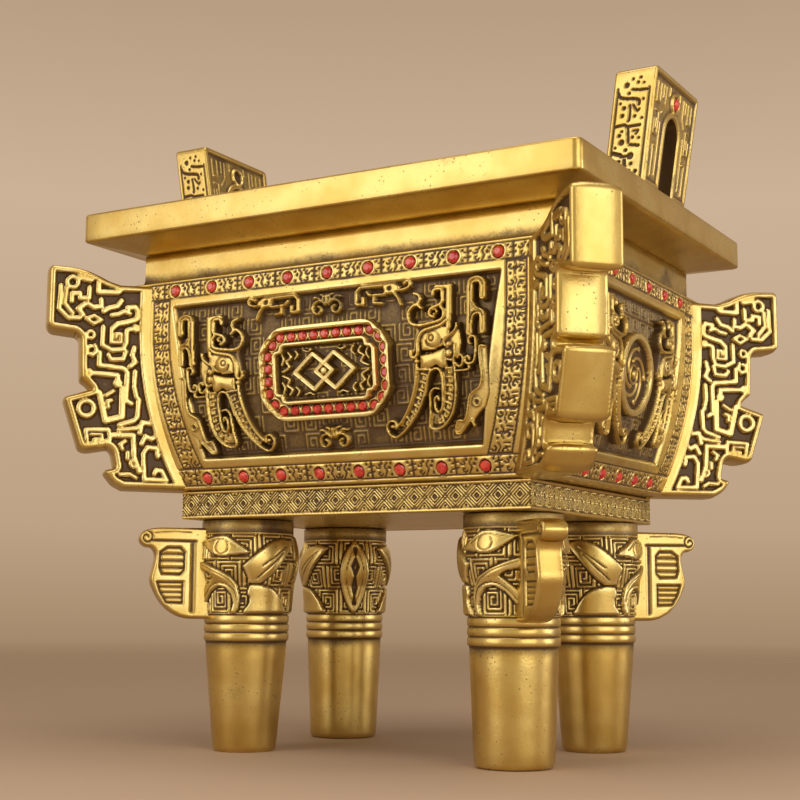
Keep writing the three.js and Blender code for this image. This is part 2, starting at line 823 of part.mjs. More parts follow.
/** Points along the channel of the cartouche, at even steps along each side. */
function cartoucheStones(middle) {
  const inset = cartoucheBorder + cartoucheChannel / 2;
  const [x, z] = [cartoucheHalfLength - inset, cartoucheHalfHeight - inset];
  const cut = cartoucheCut - inset * 0.4;
  const rowEnd = x - cut;
  const places = [];
  for (let i = 0; i < cartoucheStonesLong; i++) {
    const along = -rowEnd + (2 * rowEnd * i) / (cartoucheStonesLong - 1);
    places.push([along, z], [along, -z]);
  }
  for (let i = 0; i < cartoucheStonesShort; i++) {
    const along = (z - cut / 2) * ((2 * i) / (cartoucheStonesShort - 1) - 1);
    places.push([x, along], [-x, along]);
  }
  return places.map(([along, rise]) => [along, middle + rise]);
}

/** The raised frame in the middle of a long wall: two borders, a channel of stones, and lozenges. */
function cartouche() {
  const middle = wallFoot + cartoucheHeight;
  const bed = -fieldDepth + seat;
  const framed = (inset, cut) =>
    cutCorners(cartoucheHalfLength - inset, cartoucheHalfHeight - inset, cut, middle);
  const ring = (inset, cut) =>
    through(framed(inset, cut)).subtract(
      through(framed(inset + cartoucheBorder, cut - cartoucheBorder * 0.4)),
    );
  const ringInset = cartoucheBorder + cartoucheChannel;
  const lozenge = (x) => {
    const corners = (l, h) => [
      [x - l, middle],
      [x, middle + h],
      [x + l, middle],
      [x, middle - h],
    ];
    const share = 1 - (2 * lozengeBar) / lozengeHalfHeight;
    return through(polygon(corners(lozengeHalfLength, lozengeHalfHeight))).subtract(
      through(polygon(corners(lozengeHalfLength * share, lozengeHalfHeight * share))),
    );
  };
  const raised = joined([
    ring(0, cartoucheCut),
    ring(ringInset, cartoucheCut - ringInset * 0.5),
    lozenge(-lozengeHalfLength * 0.4),
    lozenge(lozengeHalfLength * 0.4),
  ]);
  const plate = relief(framed(0, cartoucheCut), bed, -cartoucheBed);
  const stones = cartoucheStones(middle).map(([x, z]) => {
    const glass = stone(smallStoneRadius, 1, cartoucheBed + 1, stoneFacets);
    return solidFrom(glass.translate(x, cartoucheBed - faceAt(z), z));
  });
  return plate.add(raised.intersect(skin(bed, cartoucheRise))).add(joined(stones));
}

/** The round medallion in the middle of a short wall, with a whorl inside its border. */
function medallion() {
  const middle = wallFoot + medallionHeight;
  const bed = -fieldDepth + seat;
  const reach = medallionRadius - medallionBorder;
  const round = through(disc(0, middle, medallionRadius), 8);
  const border = round.subtract(through(disc(0, middle, reach), 8));
  const arms = Array.from({ length: whorlArms }, (_, i) => {
    const at = (radius, turn) => {
      const angle = ((i + turn) * 2 * Math.PI) / whorlArms;
      return [radius * Math.cos(angle), middle + radius * Math.sin(angle)];
    };
    const line = [at(reach * 0.2, 0), at(reach * 0.5, 0.25), at(reach * 0.8, 0.75), at(reach * 0.82, 1.1)];
    return ribbon(line, whorlArm);
  });
  const raised = joined([border, through(disc(0, middle, reach * 0.28)), ...arms.map((arm) => through(arm))]);
  return round.intersect(skin(bed, -medallionBed)).add(raised.intersect(skin(bed, medallionRise)));
}

// Assembly

const finishes = {
  brass: () => new THREE.MeshStandardMaterial({ color: 0xb8923f, metalness: 1, roughness: 0.38 }),
  darkBrass: () => new THREE.MeshStandardMaterial({ color: 0x96722c, metalness: 1, roughness: 0.5 }),
  glass: () => new THREE.MeshStandardMaterial({ color: 0xc21f1c, metalness: 0, roughness: 0.12 }),
  steel: () => new THREE.MeshStandardMaterial({ color: 0xa9abac, metalness: 1, roughness: 0.42 }),
};

function piece(name, solid, finish = "brass") {
  const mesh = new THREE.Mesh(geometryFrom(solid), finishes[finish]());
  mesh.name = name;
  return mesh;
}

function placed(group, x, y, turnDegrees) {
  group.position.set(x, y, 0);
  group.rotation.z = THREE.MathUtils.degToRad(turnDegrees);
  return group;
}

const ding = new THREE.Group();
ding.add(piece("rim_frame", rimFrame()), piece("floor_plate", floorPlate()));

const longWall = wall({
  halfLength: basinHalfLength,
  lipInner: bandHalfWidth - bandThickness - lipOverlap - basinHalfWidth,
  fieldHalf: longField,
  topStones: longTopStones,
  footStones: longFootStones,
});
const shortWall = wall({
  halfLength: basinHalfWidth,
  lipInner: bandHalfLength - bandThickness - lipOverlap - basinHalfLength,
  fieldHalf: shortField,
  topStones: shortTopStones,
  footStones: shortFootStones,
});

const sides = [
  { name: "front", long: true, turn: 0, x: 0, y: -1 },
  { name: "right", long: false, turn: 90, x: 1, y: 0 },
  { name: "back", long: true, turn: 180, x: 0, y: 1 },
  { name: "left", long: false, turn: -90, x: -1, y: 0 },
];
const birdNames = {
  front: ["bird_front_left", "bird_front_right"],
  right: ["bird_right_front", "bird_right_back"],
  back: ["bird_back_right", "bird_back_left"],
  left: ["bird_left_back", "bird_left_front"],
};
for (const { name, long, turn, x, y } of sides) {
  const face = placed(new THREE.Group(), x * basinHalfLength, y * basinHalfWidth, turn);
  face.add(piece(`wall_${name}`, long ? longWall : shortWall));
  face.add(long ? piece(`cartouche_${name}`, cartouche()) : piece(`medallion_${name}`, medallion()));
  const fieldHalf = long ? longField : shortField;
  birdNames[name].forEach((birdName, index) => {
    face.add(piece(birdName, bird(fieldHalf, long, index === 0)));
  });
  const foot = placed(new THREE.Group(), x * bandHalfLength, y * bandHalfWidth, turn);
  foot.add(piece(`base_band_${name}`, bandStrip(long ? bandHalfLength : bandHalfWidth), "darkBrass"));
  ding.add(face, foot);
}

const corners = [
  { name: "front_left", x: -1, y: -1, turn: -45 },
  { name: "front_right", x: 1, y: -1, turn: 45 },
  { name: "back_right", x: 1, y: 1, turn: 135 },
  { name: "back_left", x: -1, y: 1, turn: -135 },
];
const flangeSolid = flange();
const legSolid = leg();
const tabSolid = legTab();
const boltSolid = legBolt();
const washerSolid = legWasher();
for (const { name, x, y, turn } of corners) {
  const corner = placed(new THREE.Group(), x * basinHalfLength, y * basinHalfWidth, turn);
  corner.add(piece(`flange_${name}`, flangeSolid));
  const stand = placed(new THREE.Group(), x * legX, y * legY, turn);
  stand.add(
    piece(`leg_${name}`, legSolid),
    piece(`leg_tab_${name}`, tabSolid),
    piece(`leg_bolt_${name}`, boltSolid, "steel"),
    piece(`leg_washer_${name}`, washerSolid, "steel"),
  );
  ding.add(corner, stand);
}

const earSolid = ear();
for (const [name, direction] of [
  ["left", -1],
  ["right", 1],
]) {
  const stand = placed(new THREE.Group(), direction * (rimHalfLength - earSetback), 0, direction > 0 ? 0 : 180);
  stand.position.z = rimTop + seat;
  const glass = new THREE.Mesh(
    stone(stoneRadius, stonePocket - seat, stoneRise, earStoneFacets).rotateZ(Math.PI / 2),
    finishes.glass(),
  );
  glass.name = `ear_stone_${name}`;
  glass.position.set(earStoneHeight * leanSlope, 0, earStoneHeight);
  glass.rotation.y = THREE.MathUtils.degToRad(earLean);
  stand.add(piece(`ear_${name}`, earSolid), glass);
  ding.add(stand);
}

export default ding;
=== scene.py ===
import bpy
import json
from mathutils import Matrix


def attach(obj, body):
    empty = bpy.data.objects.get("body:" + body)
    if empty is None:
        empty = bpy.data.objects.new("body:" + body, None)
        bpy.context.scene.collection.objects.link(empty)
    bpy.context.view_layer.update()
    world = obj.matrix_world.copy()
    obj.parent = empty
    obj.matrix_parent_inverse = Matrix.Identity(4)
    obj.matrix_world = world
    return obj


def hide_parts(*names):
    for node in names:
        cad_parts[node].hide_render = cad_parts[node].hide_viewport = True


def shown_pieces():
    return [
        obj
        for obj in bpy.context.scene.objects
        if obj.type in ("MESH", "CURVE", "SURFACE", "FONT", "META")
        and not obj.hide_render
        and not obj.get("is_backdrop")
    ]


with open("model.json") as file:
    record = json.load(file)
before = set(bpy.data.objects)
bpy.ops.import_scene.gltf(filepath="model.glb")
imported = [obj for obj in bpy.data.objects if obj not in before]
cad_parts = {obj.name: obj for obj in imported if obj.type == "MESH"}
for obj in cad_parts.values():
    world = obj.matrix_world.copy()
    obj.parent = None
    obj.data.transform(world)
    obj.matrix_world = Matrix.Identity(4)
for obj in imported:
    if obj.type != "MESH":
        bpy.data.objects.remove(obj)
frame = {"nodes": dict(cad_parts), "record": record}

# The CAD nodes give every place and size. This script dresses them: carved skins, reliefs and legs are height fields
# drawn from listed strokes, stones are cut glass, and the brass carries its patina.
"""A cast brass square ding: basin, rim, ears, corner flanges, birds and red stones.

The CAD nodes give every place and size. This script dresses them: carved skins, reliefs and legs are
height fields drawn from hand-chosen strokes, stones are cut glass, and the brass carries its patina.
Lengths in the classes are millimetres, and meshes are written in metres.
"""

import json
import logging
import math
from dataclasses import dataclass, field
from enum import Enum
from typing import Callable, Sequence

import bpy
import numpy as np
from mathutils import Matrix, Vector

logging.basicConfig(level=logging.INFO, format="%(message)s")
log = logging.getLogger("ding")

MM = 0.001
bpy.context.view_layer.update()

Line = Sequence[tuple[float, float]]
Grid = np.ndarray
Strokes = list[tuple[Line, float]]


@dataclass(frozen=True)
class Sizes:
    """The CAD's sizes that the dressed pieces share."""

    leg_height: float = 93.5
    leg_x: float = 61.4
    leg_y: float = 38.3
    basin_x: float = 99.2
    basin_y: float = 75.2
    band_x: float = 79.0
    band_y: float = 60.5
    plinth_foot: float = 93.8
    band_top: float = 105.2
    wall_foot: float = 105.5
    wall_top: float = 190.5
    curve_top: float = 172.0
    curve_radius: float = 193.0
    wall_thickness: float = 6.0
    neck_top: float = 204.0
    neck_inset: float = 5.2
    neck_thickness: float = 5.0
    rim_foot: float = 204.3
    rim_slope: float = 3.9
    rim_top: float = 220.0
    rim_x: float = 112.0
    rim_y: float = 89.6
    ear_setback: float = 2.0
    ear_lean: float = 8.4
    seat: float = 0.3

    def face(self, height: Grid | float) -> Grid:
        """How far the wall's face lies outward at a height, counted from the basin's widest face."""
        drop = np.maximum(self.curve_top - np.asarray(height, float), 0.0)
        return np.sqrt(self.curve_radius**2 - drop**2) - self.curve_radius

    def slope(self, height: Grid | float) -> Grid:
        """How far the wall's face leans to look downward at a height, in radians."""
        return np.arcsin(np.maximum(self.curve_top - np.asarray(height, float), 0.0) / self.curve_radius)


SIZES = Sizes()


def linear(colour: str) -> tuple[float, float, float, float]:
    """Turn an sRGB hex colour to linear values.

    Args:
        colour: six hex digits after a hash.

    Returns:
        Red, green and blue in linear light, with an alpha of 1.
    """
    channels = [int(colour[i : i + 2], 16) / 255 for i in (1, 3, 5)]
    light = [c / 12.92 if c <= 0.04045 else ((c + 0.055) / 1.055) ** 2.4 for c in channels]
    return (light[0], light[1], light[2], 1.0)


def add_node(tree: bpy.types.NodeTree, kind: str, settings: dict | None = None, inputs: dict | None = None):
    """Add a shader node with its settings, and set or link its inputs.

    Args:
        tree: the material's node tree.
        kind: the node's type name.
        settings: properties of the node.
        inputs: a value or an output socket for each input, by name or number.

    Returns:
        The new node.
    """
    node = tree.nodes.new(kind)
    for name, value in (settings or {}).items():
        setattr(node, name, value)
    for name, value in (inputs or {}).items():
        if isinstance(value, bpy.types.NodeSocket):
            tree.links.new(value, node.inputs[name])
        else:
            node.inputs[name].default_value = value
    return node


def ramp(tree: bpy.types.NodeTree, source: bpy.types.NodeSocket, stops: Sequence[tuple[float, tuple]]):
    """Add a colour ramp.

    Args:
        tree: the material's node tree.
        source: the value that the ramp reads.
        stops: a place and a linear colour for each stop, from low to high.

    Returns:
        The ramp's colour socket.
    """
    node = add_node(tree, "ShaderNodeValToRGB", inputs={"Fac": source})
    elements = node.color_ramp.elements
    while len(elements) < len(stops):
        elements.new(0.5)
    for element, (place, colour) in zip(elements, stops):
        element.position = place
        element.color = colour
    return node.outputs["Color"]


def spread(
    tree: bpy.types.NodeTree, source: bpy.types.NodeSocket, low: float, high: float,
    first: float = 0.0, last: float = 1.0, eased: bool = False,
):
    """Add a map from one range to another.

    Args:
        tree: the material's node tree.
        source: the value that is mapped.
        low: the value that becomes the first.
        high: the value that becomes the last.
        first: the result at the low end.
        last: the result at the high end.
        eased: whether the ends are eased.

    Returns:
        The result's socket.
    """
    settings = {"interpolation_type": "SMOOTHSTEP"} if eased else {}
    inputs = {0: source, 1: low, 2: high, 3: first, 4: last}
    return add_node(tree, "ShaderNodeMapRange", settings, inputs).outputs[0]


def fresh_tree(material: bpy.types.Material | bpy.types.World) -> bpy.types.NodeTree:
    """Clear a material's or world's nodes and give back its tree."""
    material.use_nodes = True
    material.node_tree.nodes.clear()
    return material.node_tree


@dataclass(frozen=True)
class CastBrass:
    """Cast brass, brushed and polished on top, with a dark patina left in the recesses."""

    name: str = "antique cast brass"
    worn: str = "#EFDD9A"
    polished: str = "#E0C779"
    body: str = "#CFAF5C"
    patina: str = "#5C4220"
    roughness: float = 0.3
    grain_mm: float = 0.8
    grain_depth_mm: float = 0.08
    dent_mm: float = 14.0
    dent_depth_mm: float = 0.22
    cloud_mm: float = 16.0
    pit_mm: float = 2.2
    lacquer: float = 0.35

    def material(self) -> bpy.types.Material:
        """Build the material.

        Returns:
            Metal whose colour and roughness follow the Recess attribute, casting mottle and grain.
        """
        material = bpy.data.materials.new(self.name)
        tree = fresh_tree(material)
        place = add_node(tree, "ShaderNodeTexCoord").outputs["Object"]
        # The attribute holds the patina, and painted shade on the walls' necks, the legs' collars, the birds' sides
        # and the ears' arches.
        recess = add_node(tree, "ShaderNodeAttribute", {"attribute_name": "PatinaAndShade"}).outputs["Fac"]
        # The casting tarnishes in soft clouds about 20 mm wide.
        mottle = {"Vector": place, "Scale": 1000.0 / self.cloud_mm, "Detail": 3.0}
        cloud = add_node(tree, "ShaderNodeTexNoise", inputs=mottle).outputs[0]
        # Fine grain: the skin of the casting.
        fine = {"Vector": place, "Scale": 1000.0 / self.grain_mm, "Detail": 2.0}
        grain = add_node(tree, "ShaderNodeTexNoise", inputs=fine).outputs[0]
        # Small casting holes, where the mottle lets them show.
        holes = {"Vector": place, "Scale": 1000.0 / self.pit_mm}
        pits = add_node(tree, "ShaderNodeTexVoronoi", inputs=holes).outputs["Distance"]
        pit = spread(tree, pits, 0.07, 0.19, 1.0, 0.0, eased=True)
        rare = spread(tree, cloud, 0.47, 0.55)
        pit = add_node(tree, "ShaderNodeMath", {"operation": "MULTIPLY"}, {0: pit, 1: rare}).outputs[0]
        tone = spread(tree, cloud, 0.35, 0.65)
        metal = ramp(tree, tone, [(0.0, linear(self.body)), (1.0, linear(self.polished))])
        wear = spread(tree, recess, -0.03, -0.4)
        rubbed = {0: wear, 6: metal, 7: linear(self.worn)}
        metal = add_node(tree, "ShaderNodeMix", {"data_type": "RGBA"}, rubbed).outputs[2]
        edged = add_node(
            tree, "ShaderNodeMath", {"operation": "MULTIPLY_ADD"}, {0: grain, 1: 0.3, 2: recess}
        ).outputs[0]
        # The clouds are brown smears of old tarnish at their thickest.
        edged = add_node(
            tree, "ShaderNodeMath", {"operation": "ADD"}, {0: edged, 1: spread(tree, cloud, 0.5, 0.72, 0.0, 0.3)}
        ).outputs[0]
        tarnish_and_shade = spread(tree, edged, 0.25, 0.95, eased=True)
        stained = {0: pit, 1: 0.7, 2: tarnish_and_shade}
        tarnish_and_shade = add_node(
            tree, "ShaderNodeMath", {"operation": "MULTIPLY_ADD", "use_clamp": True}, stained
        ).outputs[0]
        # The patina colour also paints the shade that the attribute holds.
        mixed = {0: tarnish_and_shade, 6: metal, 7: linear(self.patina)}
        colour = add_node(tree, "ShaderNodeMix", {"data_type": "RGBA"}, mixed).outputs[2]
        rough = spread(tree, tarnish_and_shade, 0.0, 1.0, self.roughness, 0.62)
        # Hand filing leaves the smooth faces a little uneven, so that their shine wavers.
        filed = {"Vector": place, "Scale": 1000.0 / self.dent_mm, "Detail": 1.0}
        dent = add_node(tree, "ShaderNodeTexNoise", inputs=filed).outputs[0]
        wave = {"Height": dent, "Distance": self.dent_depth_mm * MM, "Strength": 1.0}
        dented = add_node(tree, "ShaderNodeBump", inputs=wave).outputs[0]
        # The patina is an oxide: it hides the metal under it, and the painted shade dulls the metal the same way.
        bare = spread(tree, tarnish_and_shade, 0.2, 1.0, 1.0, 0.45)
        relief = {"Height": grain, "Distance": self.grain_depth_mm * MM, "Strength": 0.6, "Normal": dented}
        bump = add_node(tree, "ShaderNodeBump", inputs=relief).outputs[0]
        shader = add_node(
            tree, "ShaderNodeBsdfPrincipled",
            inputs={
                "Base Color": colour, "Metallic": bare, "Roughness": rough, "Normal": bump,
                "Coat Weight": self.lacquer, "Coat Roughness": 0.3,
            },
        )
        add_node(tree, "ShaderNodeOutputMaterial", inputs={"Surface": shader.outputs[0]})
        return material


@dataclass(frozen=True)
class CutGlass:
    """Cut red glass on a foil back: deep red with a bright gloss."""

    name: str = "red cut glass"
    colour: str = "#FF5A48"
    deep: str = "#D21A1C"
    roughness: float = 0.12

    def material(self) -> bpy.types.Material:
        """Build the material.

        Returns:
            Glossy red glass, deeper in patches as the foil shows through unevenly.
        """
        material = bpy.data.materials.new(self.name)
        tree = fresh_tree(material)
        place = add_node(tree, "ShaderNodeTexCoord").outputs["Object"]
        foil = {"Vector": place, "Scale": 400.0, "Detail": 1.0}
        noise = add_node(tree, "ShaderNodeTexNoise", inputs=foil).outputs[0]
        colour = ramp(tree, noise, [(0.3, linear(self.deep)), (0.65, linear(self.colour))])
        shader = add_node(
            tree, "ShaderNodeBsdfPrincipled",
            inputs={"Base Color": colour, "Roughness": self.roughness, "Coat Weight": 0.6, "IOR": 1.55},
        )
        add_node(tree, "ShaderNodeOutputMaterial", inputs={"Surface": shader.outputs[0]})
        return material


@dataclass(frozen=True)
class PlatedSteel:
    """Zinc-plated steel of the leg bolts: dull grey with fine spangle."""

    name: str = "zinc-plated steel"
    colour: str = "#A9ABAC"
    spangle_mm: float = 2.0

    def material(self) -> bpy.types.Material:
        """Build the material.

        Returns:
            Grey metal with a spangled roughness.
        """
        material = bpy.data.materials.new(self.name)
        tree = fresh_tree(material)
        place = add_node(tree, "ShaderNodeTexCoord").outputs["Object"]
        cells = {"Vector": place, "Scale": 1000.0 / self.spangle_mm}
        spangle = add_node(tree, "ShaderNodeTexVoronoi", inputs=cells).outputs["Distance"]
        rough = spread(tree, spangle, 0.0, 1.0, 0.3, 0.55)
        shader = add_node(
            tree, "ShaderNodeBsdfPrincipled",
            inputs={"Base Color": linear(self.colour), "Metallic": 1.0, "Roughness": rough},
        )
        add_node(tree, "ShaderNodeOutputMaterial", inputs={"Surface": shader.outputs[0]})
        return material


class Finish(Enum):
    """The finishes that a piece can have."""

    BRASS = "brass"
    STONE = "red_stone"
    STEEL = "bolt_steel"


@dataclass
class Workshop:
    """Holds the finished materials and dresses pieces with them."""

    materials: dict[Finish, bpy.types.Material] = field(default_factory=dict)

    def __post_init__(self) -> None:
        """Build each material once."""
        self.materials = {
            Finish.BRASS: CastBrass().material(),
            Finish.STONE: CutGlass().material(),
            Finish.STEEL: PlatedSteel().material(),
        }

    def dress(self, piece: bpy.types.Object, finish: Finish) -> None:
        """Give a piece its finish as its only material.

        Args:
            piece: a mesh object.
            finish: the finish it gets.
        """
        piece.data.materials.clear()
        piece.data.materials.append(self.materials[finish])

    def dress_nodes(self) -> None:
        """Give every carried-over CAD node the finish that its slot names."""
        slots = {row["node"]: row["material_slot"] for row in frame["record"]["subparts"]}
        for name, node in frame["nodes"].items():
            self.dress(node, Finish(slots[name]))

    def deliver(self, piece: bpy.types.Object, finish: Finish, *nodes: str) -> None:
        """Dress a new piece, put it on its body and hide what it stands for.

        Args:
            piece: the new piece.
            finish: its finish.
            nodes: the CAD nodes that it replaces, if any.
        """
        self.dress(piece, finish)
        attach(piece, "root")
        if nodes:
            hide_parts(*nodes)
        log.info("%s: %d faces", piece.name, len(piece.data.polygons))


def smooth(share: Grid | float) -> Grid:
    """Ease a share between 0 and 1."""
    held = np.clip(share, 0.0, 1.0)
    return held * held * (3.0 - 2.0 * held)


def flow(points: Line, steps: int = 5) -> Line:
    """A smooth line through given points.

    Args:
        points: the points that the line passes.
        steps: pieces between one point and the next.

    Returns:
        The points of the smooth line.
    """
    knots = np.array([points[0], *points, points[-1]], float)
    line = []
    for a, b, c, d in zip(knots[:-3], knots[1:-2], knots[2:-1], knots[3:]):
        for step in range(steps):
            t = step / steps
            bend = (2 * a - 5 * b + 4 * c - d) * t**2 + (3 * b - a - 3 * c + d) * t**3
            line.append(tuple(0.5 * (2 * b + (c - a) * t + bend)))
    return [*line, tuple(knots[-1])]


def spiral(
    x: float, z: float, outer: float, inner: float, start: float, turn: float, steps: int = 18
) -> Line:
    """A round spiral from its outer end to its inner end.

    Args:
        x: the middle.
        z: the middle's height.
        outer: first radius.
        inner: last radius.
        start: angle of the outer end in degrees.
        turn: how far it winds in degrees, negative for clockwise.
        steps: number of pieces.

    Returns:
        The points of the spiral.
    """
    line = []
    for step in range(steps + 1):
        share = step / steps
        radius = outer + (inner - outer) * share
        angle = math.radians(start + turn * share)
        line.append((x + radius * math.cos(angle), z + radius * math.sin(angle)))
    return line


def key_spiral(x: float, z: float, half: float, pitch: float, hand: int = 1, flip: int = 1) -> Line:
    """A square spiral, the thunder pattern that covers the ground.

    Args:
        x: the middle.
        z: the middle's height.
        half: half of its side.
        pitch: from one line to the next.
        hand: 1 or -1, which way it winds.
        flip: 1 or -1, which end it starts from.

    Returns:
        The corners of the spiral.
    """
    line = [(-half, -half), (-half, half), (half, half), (half, -half)]
    inner = half - pitch
    line.append((-inner, -half))
    while inner > pitch * 0.15:
        line += [(-inner, inner), (inner, inner), (inner, -inner)]
        inner -= pitch
        line.append((-inner, -inner - pitch))
    return [(x + hand * a, z + flip * b) for a, b in line]


def comma(x: float, z: float, size: float, hand: int = 1, flip: int = 1) -> Line:
    """A small curled stroke."""
    return [(x + hand * a, z + flip * b) for a, b in spiral(0, 0, size, size * 0.35, 200, 250, 8)]


def soften(points: Line, radius: float) -> Line:
    """Round the inner corners of an open outline.

    Args:
        points: its corners.
        radius: how far from a corner the rounding starts.

    Returns:
        The outline with four points in place of each inner corner.
    """
    line = [points[0]]
    for before, corner, after in zip(points[:-2], points[1:-1], points[2:]):
        a, b, c = np.array(before, float), np.array(corner, float), np.array(after, float)
        back, ahead = np.linalg.norm(a - b), np.linalg.norm(c - b)
        reach = min(radius, back * 0.45, ahead * 0.45)
        start, end = b + (a - b) / back * reach, b + (c - b) / ahead * reach
        for t in (0.0, 1 / 3, 2 / 3, 1.0):
            line.append(tuple((1 - t) ** 2 * start + 2 * t * (1 - t) * b + t**2 * end))
    return [*line, points[-1]]


def gap_to_line(line: Line, x: Grid, z: Grid) -> Grid:
    """How far each point lies from a bent line."""
    best = np.full(x.shape, np.inf)
    for (x0, z0), (x1, z1) in zip(line[:-1], line[1:]):
        dx, dz = x1 - x0, z1 - z0
        span = dx * dx + dz * dz or 1.0
        share = np.clip(((x - x0) * dx + (z - z0) * dz) / span, 0.0, 1.0)
        best = np.minimum(best, np.hypot(x - x0 - share * dx, z - z0 - share * dz))
    return best


def gap_to_area(line: Line, x: Grid, z: Grid) -> Grid:
    """How far each point lies outside a closed shape, negative inside it."""
    closed = [*line, line[0]]
    inside = np.zeros(x.shape, bool)
    for (x0, z0), (x1, z1) in zip(closed[:-1], closed[1:]):
        if z0 != z1:
            inside ^= ((z0 > z) != (z1 > z)) & (x < (x1 - x0) * (z - z0) / (z1 - z0) + x0)
    return gap_to_line(closed, x, z) * np.where(inside, -1.0, 1.0)


@dataclass
class Motif:
    """A figure made of lines with a width and filled areas."""

    lines: Strokes = field(default_factory=list)
    areas: list[Line] = field(default_factory=list)

    def line(self, points: Line, width: float) -> "Motif":
        """Add a line of a width."""
        self.lines.append((points, width / 2))
        return self

    def curve(self, points: Line, width: float) -> "Motif":
        """Add a smooth line of a width through the points."""
        return self.line(flow(points), width)

    def disc(self, x: float, z: float, radius: float) -> "Motif":
        """Add a disc."""
        return self.line([(x, z), (x, z)], 2 * radius)

    def ring(self, x: float, z: float, radius: float, width: float) -> "Motif":
        """Add a ring of a middle radius and a width."""
        return self.line(spiral(x, z, radius, radius, 0, 360, 24), width)

    def area(self, points: Line) -> "Motif":
        """Add a filled area."""
        self.areas.append(points)
        return self

    def box(self) -> tuple[float, float, float, float]:
        """The lowest and highest x and z of the figure."""
        spans = [(np.array(line, float), half) for line, half in self.lines]
        spans += [(np.array(line, float), 0.0) for line in self.areas]
        lows = np.min([points.min(0) - half for points, half in spans], axis=0)
        highs = np.max([points.max(0) + half for points, half in spans], axis=0)
        return lows[0], lows[1], highs[0], highs[1]

    def gap(self, x: Grid, z: Grid) -> Grid:
        """How far each point lies outside the figure, negative inside it."""
        best = np.full(x.shape, np.inf)
        for line, half in self.lines:
            best = np.minimum(best, gap_to_line(line, x, z) - half)
        for line in self.areas:
            best = np.minimum(best, gap_to_area(line, x, z))
        return best


@dataclass(frozen=True)
class Contour:
    """A groove that runs along a figure's edge at an inset."""

    inset: float
    width: float = 0.35
    depth: float = 0.5


def box_blur(values: Grid, size: int) -> Grid:
    """The mean of each sample and its neighbours along a row."""
    padded = np.pad(values, ((0, 0), (size, size)), mode="edge")
    total = np.cumsum(np.pad(padded, ((0, 0), (1, 0))), axis=1)
    return (total[:, 2 * size + 1 :] - total[:, : -2 * size - 1]) / (2 * size + 1)


